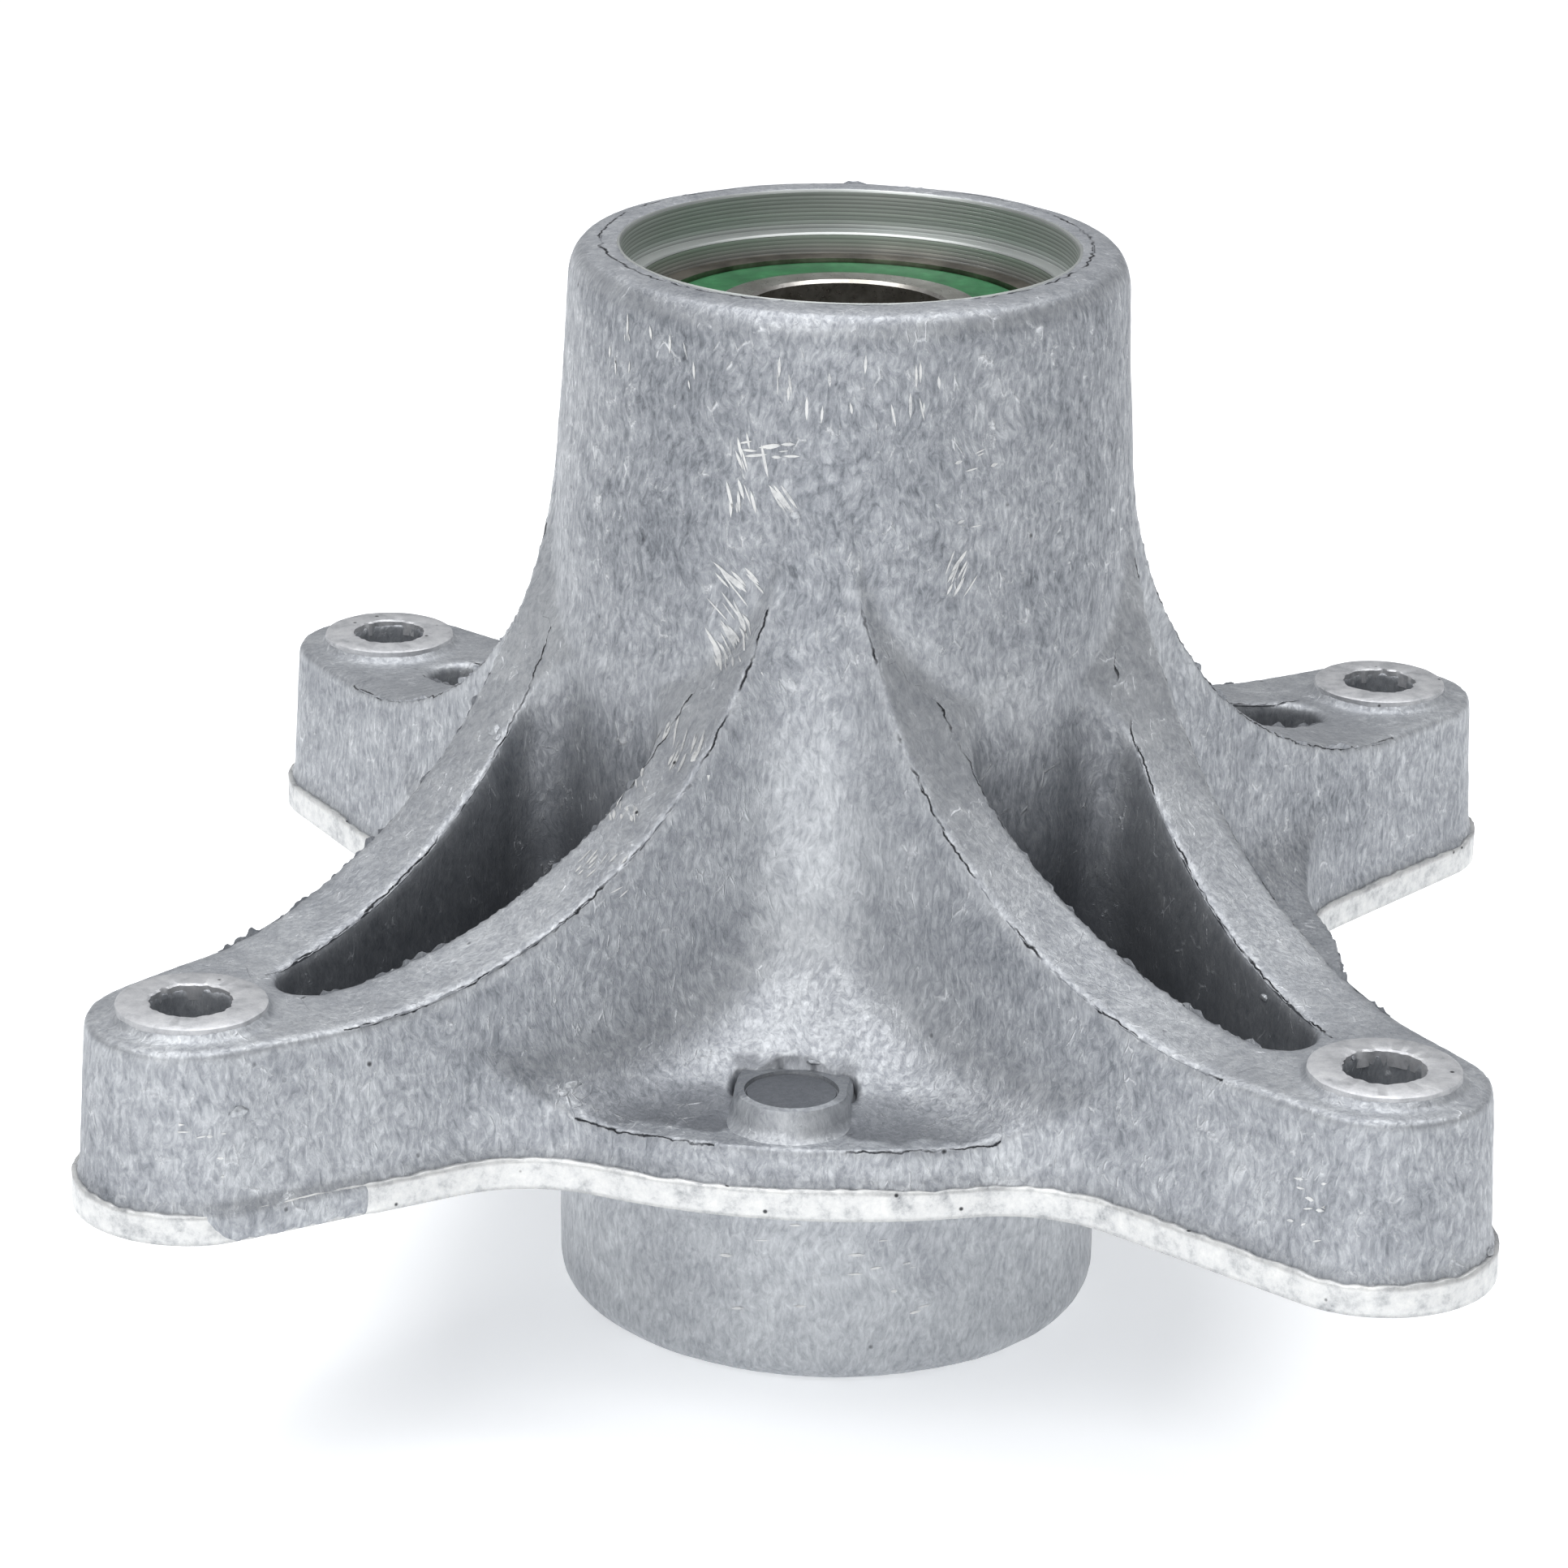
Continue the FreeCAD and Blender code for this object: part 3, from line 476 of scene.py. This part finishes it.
def painted_pocket_shade(place):
    """Painted shade: how deep a place lies in an arm's pocket, in the boss's recess or in the hollows
    beside the boss, from 0 at the mouth to 1.
    """
    u, v, z = arm_place(place)
    if abs(place.x) < 5.7 and -44 < place.y < -36.6 and z < 10.2:
        return 0.85
    # Painted shade on the low hollows beside the boss, strongest at the foot of the slope and fading
    # sideways
    if place.y < -40 and 6.55 < z < 10 and math.hypot(place.x, place.y) < 49.4:
        return 1.3 * max(1 - (z - 6.5) / 2.8, 0.0) * max(1 - abs(place.x) / 26, 0.0) ** 0.5
    across = v * ARM_COSINE + u * ARM_SINE
    if across > POCKET_WALL + (z - POCKET_FLOOR) * DRAFT + 0.4 or z < 6:
        return 0.0
    if math.hypot(place.x, place.y) < hub_radius(z) - 1.5:
        return 0.0
    return min(max(-above_rib(u, z) / 11.0, 0.0), 1.0)


def wear_and_painted_light(place):
    """How much a place was knocked about, with painted light in the same value: most on the hub, the
    rib tops and the arm ends; the spigot under the flange gets little, so it is painted lighter, and
    the walls beside the open sides more than the nose, so they are painted darker.
    """
    radius = math.hypot(place.x, place.y)
    # Painted light: the spigot, in the flange's shadow, is lifted
    if place.z < -0.5:
        return 0.1
    if place.z > 52:
        return 1.0 if place.z < 75 else 0.6
    u, v, z = arm_place(place)
    if abs(above_rib(u, z)) < 1.2:
        return 0.45
    if radius > 62 or z < 8:
        return 0.7
    # Painted shade: the walls beside the open sides are darkened, the nose left lighter
    beside = min(max((flange_turn(place) - 3) / 20, 0.0), 1.0)
    return max(0.2 + 0.6 * beside, min((place.z - 30) / 22, 1.0))


# The casting: the CAD housing with softened edges, an uneven skin and room for the crisp pieces

VOXEL = 0.5 * MM
TRIANGLES = 185000

bm = bmesh.new()
bm.from_mesh(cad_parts["housing"].data)
bmesh.ops.remove_doubles(bm, verts=bm.verts, dist=1e-6)
trim_outline = [v.co / MM for v in bm.verts
                if abs(v.co.z) < 1e-6 and v.co.length > 45 * MM
                and all(math.hypot(v.co.x / MM - x, v.co.y / MM - y) > 5 for x, y in SCREW_SPOTS)]
casting = finished(bm, "casting", CAST, "housing_body")
remesh = casting.modifiers.new("remesh", "REMESH")
remesh.mode = "VOXEL"
remesh.voxel_size = VOXEL
soften = casting.modifiers.new("soften", "SMOOTH")
soften.factor = 0.5
soften.iterations = 3
apply_modifiers(casting)


def rounding(place):
    """How much more a cast edge is rounded: the arms' top edges are, the crease isn't."""
    u, v, z = arm_place(place)
    if z < 9 or z > 19.5 or u < 50:
        return 0.0
    if math.hypot(u - SCREW_REACH, v) < PAD_RADIUS + 1.2:
        return 0.0
    return 1.0


def made_room(place):
    """The place of a casting point once it makes room for the machined pieces."""
    radius = math.hypot(place.x, place.y)
    if place.z > 70.4 and radius < 21.7 and radius > 15:
        place = Vector((place.x * 21.7 / radius, place.y * 21.7 / radius, place.z))
    elif place.z > 73.5 and radius < 26.3:
        flat = min((26.3 - radius) / 1.2, 1.0)
        place = Vector((place.x, place.y, place.z + (HUB_TOP - place.z) * 0.5 * flat))
    if place.z < -13.6 and 15 < radius < 21.5:
        place = Vector((place.x * 21.5 / radius, place.y * 21.5 / radius, place.z))
    for x, y in SCREW_SPOTS:
        out = math.hypot(place.x - x, place.y - y)
        if out < PAD_RADIUS + 0.25 and place.z > ARM_TOP:
            return Vector((place.x, place.y, min(place.z, PAD_FACE - 0.5)))
    if math.hypot(place.x, place.y + BOSS_REACH) < BOSS_RADIUS + 0.3 and place.z > 7:
        return Vector((place.x, place.y, min(place.z, BOSS_TOP - 0.9)))
    return place


def grey_gap(place):
    """1 where the trim tool left the cast skin, on the front left arm's near side, else 0."""
    if place.y > -48:
        return 0.0
    return (min(max((-36.1 - place.x) / 0.9, 0.0), 1.0)
            * min(max((place.x + 49.8) / 1.6 + (place.z - 1.4) * 0.5, 0.0), 1.0))


group = casting.vertex_groups.new(name="rounded")
for vertex in casting.data.vertices:
    if rounding(vertex.co / MM) > 0:
        group.add([vertex.index], 1.0, "REPLACE")
rounder = casting.modifiers.new("rounder", "SMOOTH")
rounder.factor = 0.5
rounder.iterations = 7
rounder.vertex_group = "rounded"
apply_modifiers(casting)

mesh = casting.data
normals = [vertex.normal.copy() for vertex in mesh.vertices]
moved = []
for vertex, normal in zip(mesh.vertices, normals):
    place = vertex.co / MM
    wave = noise.noise(place / 7.0) * 0.10 + noise.noise(place / 1.9) * 0.035
    radius = math.hypot(place.x, place.y)
    if radius < 21 or (-0.3 < place.z < 0.3 and radius < 60):
        wave = 0.0
    place = made_room(place) + normal * wave
    if -0.2 < place.z < LIP_HEIGHT + 0.25 and radius > 40 and abs(normal.z) < 0.75:
        place -= Vector((normal.x, normal.y, 0.0)) * 0.3 * (1.0 - grey_gap(place))
    moved += [place.x * MM, place.y * MM, place.z * MM]
mesh.vertices.foreach_set("co", moved)
mesh.update()

thinner = casting.modifiers.new("thinner", "DECIMATE")
thinner.ratio = min(1.0, TRIANGLES / (2 * len(mesh.polygons)))
apply_modifiers(casting)

mesh = casting.data
mesh.materials.clear()
mesh.materials.append(CAST)
mesh.polygons.foreach_set("use_smooth", [True] * len(mesh.polygons))
set_skin(casting, edge_side, painted_pocket_shade, wear_and_painted_light)
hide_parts("housing")

bm = bmesh.new()
bm.from_mesh(mesh)
surface = BVHTree.FromBMesh(bm)
bm.free()


# The bright band that the trim tool left round the flange

def even_outline(points, step):
    """The outline's corners in turn, with points added so that none is further than a step."""
    ordered = sorted(points, key=lambda p: math.atan2(p.y, p.x))
    spaced = []
    for start, end in zip(ordered, ordered[1:] + ordered[:1]):
        count = max(1, math.ceil((end - start).length / step))
        spaced += [start.lerp(end, i / count) for i in range(count)]
    return spaced


def trim_band():
    outline = even_outline(trim_outline, 0.55)
    bm = bmesh.new()
    row = [bm.verts.new(point * MM) for point in outline]
    edges = [bm.edges.new((a, b)) for a, b in zip(row, row[1:] + row[:1])]
    rows = 5
    for number in range(rows):
        made = bmesh.ops.extrude_edge_only(bm, edges=edges)["geom"]
        edges = [item for item in made if isinstance(item, bmesh.types.BMEdge)
                 and all(vert in made for vert in item.verts)]
        raised = [item for item in made if isinstance(item, bmesh.types.BMVert)]
        bmesh.ops.translate(bm, verts=raised, vec=(0, 0, LIP_HEIGHT * MM / rows))
        edges = [edge for edge in edges if len(edge.link_faces) == 1]
    for vert in bm.verts:
        place = vert.co / MM
        top = place.z > LIP_HEIGHT - 0.1
        if top:
            place.z += noise.noise(place / 1.3) * 0.22 + noise.noise(place / 6.0) * 0.2
        out = Vector((place.x, place.y, 0.0)).normalized()
        place += out * noise.noise(place / 0.9) * 0.05
        place -= out * 0.55 * grey_gap(place)
        vert.co = place * MM
    bmesh.ops.recalc_face_normals(bm, faces=bm.faces)
    bmesh.ops.solidify(bm, geom=bm.faces[:], thickness=0.6 * MM)
    close_up(bm)
    return finished(bm, "sheared_flange_band", SHEARED, "housing_body")


# Machined faces

def screw_face(number, spot):
    """The bright trimmed ring round a screw hole, with a torn edge towards the hole."""
    bm = bmesh.new()
    turned_ring(bm, [(SCREW_HOLE_RADIUS, PAD_FACE - 1.5), (SCREW_HOLE_RADIUS, PAD_FACE - 0.12),
                     (SCREW_HOLE_RADIUS + 0.2, PAD_FACE + 0.03), (PAD_RADIUS - 0.25, PAD_FACE),
                     (PAD_RADIUS, PAD_FACE - 0.15), (PAD_RADIUS + 0.1, PAD_FACE - 1.5)],
                spot, steps=96)
    for vert in bm.verts:
        place = vert.co / MM
        out = Vector((place.x - spot[0], place.y - spot[1], 0.0))
        radius = out.length
        out.normalize()
        if radius < SCREW_HOLE_RADIUS + 0.3:
            place += out * (noise.noise(place / 0.7) * 0.3 + noise.noise(place / 2.2) * 0.2)
        else:
            place += out * noise.noise(place / 1.5) * 0.08
        vert.co = place * MM
    close_up(bm)
    made = finished(bm, f"screw_face_{number}", FACED, "housing_body")
    sharpen(made)


def bore_liner():
    """The machined mouth of the hub: counterbore, its floor and the top of the bearing's seat."""
    bm = bmesh.new()
    turned_ring(bm, [(SEAT_RADIUS + 0.02, 70.7), (SEAT_RADIUS + 0.02, COUNTERBORE_FLOOR - 0.2),
                     (SEAT_RADIUS + 0.2, COUNTERBORE_FLOOR), (COUNTERBORE_RADIUS, COUNTERBORE_FLOOR),
                     (COUNTERBORE_RADIUS, HUB_TOP - 0.2), (COUNTERBORE_RADIUS + 0.18, HUB_TOP + 0.04),
                     (21.9, HUB_TOP - 0.05), (22.2, HUB_TOP - 0.6), (22.2, 70.7)], steps=224)
    close_up(bm)
    made = finished(bm, "hub_bore", TURNED, "housing_body")
    sharpen(made, 20)


def lower_bore_liner():
    """The machined mouth of the lower bearing's seat."""
    bm = bmesh.new()
    low = SPIGOT_BOTTOM
    turned_ring(bm, [(SEAT_RADIUS + 0.02, -13.2), (SEAT_RADIUS + 0.02, low + 0.8),
                     (SEAT_RADIUS + 0.8, low - 0.03), (21.9, low - 0.03), (21.9, -13.2)], steps=160)
    close_up(bm)
    made = finished(bm, "spigot_bore", TURNED, "housing_body")
    sharpen(made, 20)


# The blind boss at the front: a round stub with a flat disc let into its top

def boss_shade(place):
    """Painted shade on the boss: darkest on the disc, less on its rim and flat top, and the front
    wall nearly as pale as the casting.
    """
    if math.hypot(place.x, place.y + BOSS_REACH) < 4.2:
        return 1.3
    return 0.8 if place.z > BOSS_TOP - 0.2 and place.y > -44.5 else 0.15


def blind_boss():
    bm = bmesh.new()
    turned_ring(bm, [(0.0, 6.0), (0.0, BOSS_TOP - 0.22), (4.05, BOSS_TOP - 0.22),
                     (4.12, BOSS_TOP - 0.42), (4.22, BOSS_TOP - 0.42), (4.3, BOSS_TOP + 0.02),
                     (4.95, BOSS_TOP - 0.1), (5.25, BOSS_TOP - 0.6), (5.4, 7.6), (5.8, 6.85),
                     (6.4, 6.45), (6.4, 6.0)], (0.0, -BOSS_REACH), steps=96)
    for vert in bm.verts:
        place = vert.co / MM
        out = Vector((place.x, place.y + BOSS_REACH, 0.0))
        if out.length > 4.4:
            if out.y > 0:
                corner = out.length / max(abs(out.x), out.y)
                place += out * (min(corner, 1.25) - 1.0)
            place += out.normalized() * noise.noise(place / 2.5) * 0.12
        vert.co = place * MM
    close_up(bm)
    made = finished(bm, "blind_boss", CAST, "housing_body")
    sharpen(made)
    # The boss's darkening is painted shade
    set_skin(made, lambda place: FAR, boss_shade, lambda place: 0.3)


# Flash: thin torn fins that stand on the mould's parting edges

def rib_edge(side, wall, quadrant):
    """Points down a rib's edge, from the hub towards the screw, with the rib's upward normal."""
    path = []
    reach = 30.0
    while reach < RIB_ARC_REACH - 3:
        z = RIB_ARC_HEIGHT - math.sqrt(RIB_ARC_RADIUS ** 2 - (RIB_ARC_REACH - reach) ** 2)
        if wall == "outer":
            across = ARM_WALL - z * DRAFT
        else:
            across = POCKET_WALL + (z - POCKET_FLOOR) * DRAFT
        v = (across - reach * ARM_SINE) / ARM_COSINE * side
        along = Vector((quadrant[0], quadrant[1], 0.0)) / math.sqrt(2)
        cross = Vector((-along.y, along.x, 0.0))
        place = along * reach + cross * v + Vector((0, 0, z))
        normal = along * (RIB_ARC_REACH - reach) + Vector((0, 0, RIB_ARC_HEIGHT - z))
        if math.hypot(place.x, place.y) > hub_radius(z) + 0.4:
            outward = cross * side * (1 if wall == "outer" else -1)
            path.append((place, (normal.normalized() + outward * 0.5).normalized()))
        slope = (RIB_ARC_REACH - reach) / (RIB_ARC_HEIGHT - z)
        reach += 0.32 / math.sqrt(1 + slope ** 2)
    return path


def fin(bm, path, height, seed, closed=False):
    """A ragged fin along a path of (place, direction), sunk into the rounded edge."""
    row = [bm.verts.new((place - lean * 0.45) * MM) for place, lean in path]
    edges = [bm.edges.new(pair) for pair in zip(row, row[1:])]
    if closed:
        edges.append(bm.edges.new((row[-1], row[0])))
    made = bmesh.ops.extrude_edge_only(bm, edges=edges)["geom"]
    shift = Vector((seed * 13.7, 0.0, 0.0))
    for vert in [item for item in made if isinstance(item, bmesh.types.BMVert)]:
        place, lean = min(path, key=lambda item: (vert.co / MM - item[0]).length_squared)
        rise = noise.noise(place / 3.4 + shift) * 0.9 + noise.noise(place / 0.8 + shift) * 0.75
        grown = 0.16 + max(rise, 0.0) * height
        vert.co += lean * grown * MM


def flash():
    bm = bmesh.new()
    seed = 0
    for quadrant in ((1, 1), (-1, 1), (-1, -1), (1, -1)):
        for side in (-1, 1):
            for wall in ("outer", "inner"):
                seed += 1
                fin(bm, rib_edge(side, wall, quadrant), 0.75, seed)
    for quarter in range(4):
        path = []
        for step in range(-62, 63):
            turn = math.radians(-90 + 90 * quarter + step * 0.36)
            out = Vector((math.cos(turn), math.sin(turn), 0.0))
            if quarter == 0 and abs(step) < 19:
                continue
            place = out * (FLANGE_RADIUS - FLANGE_THICKNESS * DRAFT - 0.1)
            path.append((place + Vector((0, 0, FLANGE_THICKNESS)),
                         (out * 0.8 + Vector((0, 0, 0.6))).normalized()))
        if quarter == 0:
            half = len(path) // 2
            fin(bm, path[:half], 0.8, 40)
            fin(bm, path[half:], 0.5, 41)
        else:
            fin(bm, path, 0.6, 40 + quarter)
    ring = []
    for step in range(300):
        turn = math.tau * step / 300
        out = Vector((math.cos(turn), math.sin(turn), 0.0))
        ring.append((Vector((*FLASH_CENTRE, HUB_TOP + 0.2)) + out * FLASH_RADIUS,
                     (out * 0.35 + Vector((0, 0, 1.0))).normalized()))
    fin(bm, ring, 0.35, 60, closed=True)
    bmesh.ops.recalc_face_normals(bm, faces=bm.faces)
    bmesh.ops.solidify(bm, geom=bm.faces[:], thickness=0.07 * MM)
    bmesh.ops.recalc_face_normals(bm, faces=bm.faces)
    made = finished(bm, "parting_flash", CAST, "housing_body", smooth=False)
    # The fins are darkened evenly as painted shade
    set_skin(made, lambda place: FAR, lambda place: 0.45, lambda place: 0.6)


# Bright scratches, laid on the casting as thin slivers of bare metal

def lay_sliver(bm, start, end, width):
    """A pointed sliver from start to end, in millimetres, pressed on to the casting."""
    count = max(3, int((end - start).length / 0.5))
    made = bmesh.ops.create_grid(bm, x_segments=count, y_segments=1, size=0.5)["verts"]
    along = end - start
    for vert in made:
        share = vert.co.x + 0.5
        half = width * vert.co.y * (1.0 - (2 * share - 1) ** 2) ** 0.5 if 0 < share < 1 else 0.0
        place = start + along * share
        spot, normal, face, gap = surface.find_nearest(place * MM)
        side = normal.cross(along).normalized()
        vert.co = spot + (normal * 0.035 + side * half) * MM


# Each cluster: centre, stroke direction, spread, number of strokes and their length
SCRATCHES = [
    ((-6.0, -26.1, 62.2), (0.30, 0.0, -0.9), (1.6, 3.0), 9, 2.6),
    ((-4.8, -26.4, 64.6), (1.0, 0.0, 0.15), (2.4, 0.8), 9, 1.8),
    ((-3.2, -26.6, 61.0), (0.6, 0.0, -0.8), (1.2, 1.6), 7, 2.8),
    ((-7.9, -25.8, 59.4), (0.1, 0.0, -1.0), (0.8, 1.2), 4, 2.0),
    ((-7.1, -26.4, 51.7), (0.7, 0.0, -0.6), (2.2, 1.2), 12, 2.2),
    ((-7.6, -26.9, 46.9), (0.65, 0.0, -0.7), (2.0, 3.2), 30, 2.8),
    ((-13.3, -27.8, 37.6), (0.3, 0.0, -0.9), (1.4, 1.2), 10, 1.9),
    ((-11.3, -30.6, 36.9), (0.1, -0.2, -1.0), (1.8, 1.6), 16, 2.2),
    ((-15.6, -30.2, 33.6), (0.5, -0.3, -0.8), (1.4, 1.4), 8, 1.8),
    ((-17.1, -31.8, 31.1), (0.5, -0.3, -0.8), (2.2, 1.6), 14, 2.0),
    ((-18.3, -36.8, 27.4), (-0.6, -0.6, -0.4), (3.0, 2.4), 12, 1.6),
    ((12.6, -24.2, 53.2), (0.5, 0.0, 0.8), (1.4, 1.6), 9, 2.2),
    ((14.0, -22.6, 60.5), (0.9, 0.0, 0.2), (3.0, 4.0), 8, 1.3),
    ((3.0, -26.4, 70.5), (0.1, 0.0, -1.0), (8.0, 2.5), 16, 2.0),
    ((-16.0, -20.5, 71.5), (0.2, 0.0, -1.0), (6.0, 2.5), 12, 1.6),
    ((-52.0, -60.0, 8.0), (1.0, -0.7, 0.1), (7.0, 4.0), 14, 1.6),
    ((47.0, -61.0, 9.0), (1.0, 0.5, 0.1), (8.0, 4.0), 14, 1.6),
    ((0.0, -26.4, -12.0), (1.0, 0.0, 0.1), (16.0, 9.0), 22, 1.5),
    ((20.0, 18.0, 58.0), (0.2, 0.2, -1.0), (8.0, 12.0), 26, 1.8),
    ((-20.0, 18.0, 62.0), (0.3, 0.2, -1.0), (8.0, 10.0), 20, 1.8),
]


def scratches():
    bm = bmesh.new()
    for centre, direction, (wide, tall), count, length in SCRATCHES:
        centre, direction = Vector(centre), Vector(direction).normalized()
        out = Vector((centre.x, centre.y, 0.0)).normalized()
        level = Vector((-out.y, out.x, 0.0))
        for number in range(count):
            middle = (centre + level * random.uniform(-wide, wide)
                      + Vector((0, 0, random.uniform(-tall, tall))))
            swing = Vector([random.uniform(-0.16, 0.16) for axis in range(3)])
            half = (direction + swing).normalized() * length * random.uniform(0.25, 0.65)
            lay_sliver(bm, middle - half, middle + half, random.uniform(0.12, 0.34))
    bmesh.ops.remove_doubles(bm, verts=bm.verts, dist=1e-8)
    for face in bm.faces:
        face.normal_update()
    for face in bm.faces:
        spot, normal, index, gap = surface.find_nearest(face.calc_center_median())
        if face.normal.dot(normal) < 0:
            face.normal_flip()
    return finished(bm, "scratches", SHEARED, "housing_body")


# Beads and torn crumbs of metal left on the casting: place and size
CRUMBS = [
    ((-47.0, -60.8, 11.9), (1.5, 0.5, 0.9)), ((-19.8, -43.8, 9.1), (1.4, 0.5, 0.7)),
    ((-20.6, -44.6, 8.2), (0.8, 0.4, 0.5)), ((-2.1, -27.1, 58.6), (0.9, 0.35, 0.6)),
    ((41.7, -35.6, 17.8), (0.9, 0.7, 0.6)), ((-31.3, -15.6, 32.8), (1.3, 0.8, 1.2)),
    ((-30.6, -16.4, 32.0), (0.8, 0.6, 0.8)), ((1.2, -37.9, 9.9), (1.3, 0.7, 0.35)),
    ((50.6, -50.4, 18.9), (0.4, 0.5, 0.5)), ((63.2, -56.0, 3.4), (0.9, 0.6, 0.7)),
]


def crumbs():
    bm = bmesh.new()
    for place, size in CRUMBS:
        made = bmesh.ops.create_icosphere(bm, subdivisions=3, radius=1.0)["verts"]
        spot, normal, face, gap = surface.find_nearest(Vector(place) * MM)
        turn = normal.to_track_quat("Y", "Z")
        for vert in made:
            lump = vert.co * (1.0 + 0.45 * noise.noise(vert.co * 1.7 + spot / MM))
            shaped = Vector((lump.x * size[0], lump.y * size[1] * 0.6, lump.z * size[2]))
            vert.co = spot + turn @ shaped * 0.55 * MM
    made = finished(bm, "crumbs", CAST, "housing_body")
    set_skin(made, lambda place: FAR, lambda place: 0.0, lambda place: 0.2)


# Seals: a beaded rim, a flat band and a lip that nearly meets the inner ring

def seal(node, base, upwards):
    outline = [(12.82, 10.45), (12.82, 11.35), (12.98, 11.62), (13.25, 11.70), (13.55, 11.62),
               (13.8, 11.52), (16.75, 11.52), (17.0, 11.66), (17.35, 11.68), (17.55, 11.5),
               (17.62, 11.25), (17.84, 11.2), (17.84, 10.45)]
    profile = [(r, base + (z if upwards else BEARING_WIDTH - z)) for r, z in outline]
    bm = bmesh.new()
    turned_ring(bm, profile, steps=160)
    close_up(bm)
    made = finished(bm, f"{node}_rubber", SEAL, "housing_body")
    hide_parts(node)


def dress(node, material):
    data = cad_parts[node].data
    data.materials.clear()
    data.materials.append(material)


trim_band()
for number, spot in enumerate(SCREW_SPOTS, 1):
    screw_face(number, spot)
bore_liner()
lower_bore_liner()
blind_boss()
flash()
scratches()
crumbs()

for bearing, base in (("upper_bearing", UPPER_BEARING_BASE), ("lower_bearing", LOWER_BEARING_BASE)):
    seal(f"{bearing}_top_seal", base, True)
    seal(f"{bearing}_bottom_seal", base, False)
    dress(f"{bearing}_outer_ring", OUTER_RING)
    dress(f"{bearing}_inner_ring", INNER_RING)
    dress(f"{bearing}_cage_top", CAGE)
    dress(f"{bearing}_cage_bottom", CAGE)
    for number in range(1, 9):
        dress(f"{bearing}_ball_{number}", BALL)
dress("bearing_spacer_tube", SPACER)


# Camera at the photograph's viewing angle

FOCAL_LENGTH = 124.40
CAMERA_PLACE = Vector((40.056, -491.767, 201.695)) * MM
AZIMUTH, ELEVATION = 4.65669, 22.58496
PAN, TILT, ROLL = 0.59644, -2.69991, 1.16888


def add_camera():
    turn = math.radians(AZIMUTH + PAN)
    lean = math.radians(ELEVATION + TILT)
    back = Vector((math.sin(turn) * math.cos(lean), -math.cos(turn) * math.cos(lean),
                   math.sin(lean)))
    right = Vector((0, 0, 1)).cross(back).normalized()
    above = back.cross(right)
    roll = math.radians(ROLL)
    side = right * math.cos(roll) + above * math.sin(roll)
    top = above * math.cos(roll) - right * math.sin(roll)
    data = bpy.data.cameras.new("camera")
    data.lens = FOCAL_LENGTH
    data.sensor_width = 36.0
    data.clip_start = 0.01
    made = bpy.data.objects.new("camera", data)
    made.matrix_world = Matrix((
        (side.x, top.x, back.x, CAMERA_PLACE.x),
        (side.y, top.y, back.y, CAMERA_PLACE.y),
        (side.z, top.z, back.z, CAMERA_PLACE.z),
        (0, 0, 0, 1)))
    bpy.context.scene.collection.objects.link(made)
    bpy.context.scene.camera = made


# Studio: soft boxes, a pale floor and a white surround

def add_softbox(name, place, size, power, aim=(0, 0, 20)):
    data = bpy.data.lights.new(name, "AREA")
    data.shape = "RECTANGLE"
    data.size, data.size_y = [s * MM for s in size]
    data.energy = power
    made = bpy.data.objects.new(name, data)
    made.location = Vector(place) * MM
    made.rotation_mode = "QUATERNION"
    made.rotation_quaternion = (Vector(place) - Vector(aim)).to_track_quat("Z", "Y")
    bpy.context.scene.collection.objects.link(made)


def add_floor():
    bm = bmesh.new()
    bmesh.ops.create_grid(bm, x_segments=1, y_segments=1, size=3.0)
    bmesh.ops.translate(bm, verts=bm.verts, vec=(0, 0, CAD_BOX[0].z - 0.0001))
    mesh = bpy.data.meshes.new("floor")
    bm.to_mesh(mesh)
    bm.free()
    made = bpy.data.objects.new("floor", mesh)
    material, tree, shader, place = new_material("frosted acrylic light table", 0.0, 0.9, "f8f9fa")
    shader.inputs["Emission Color"].default_value = linear("fafbfc")
    shader.inputs["Emission Strength"].default_value = 0.45
    mesh.materials.append(material)
    bpy.context.scene.collection.objects.link(made)


def add_surround():
    world = bpy.data.worlds.new("studio")
    world.use_nodes = True
    world.node_tree.nodes["Background"].inputs["Color"].default_value = linear("f4f6fa")
    world.node_tree.nodes["Background"].inputs["Strength"].default_value = 0.25
    bpy.context.scene.world = world


add_camera()
add_surround()
add_floor()
add_softbox("key softbox", (-200, -420, 500), (420, 260), 1.8)
add_softbox("low front fill", (20, -760, 60), (500, 120), 0.7)
add_softbox("low left fill", (-620, -330, 30), (300, 90), 0.15, (0, 0, -15))
add_softbox("low right fill", (620, -330, 30), (300, 90), 0.15, (0, 0, -15))
add_softbox("back left softbox", (-560, 420, 120), (500, 300), 0.4)
add_softbox("back right softbox", (560, 420, 120), (500, 300), 0.4)
add_softbox("top softbox", (0, 60, 700), (800, 700), 5.0)
bpy.context.scene.view_settings.view_transform = "Standard"
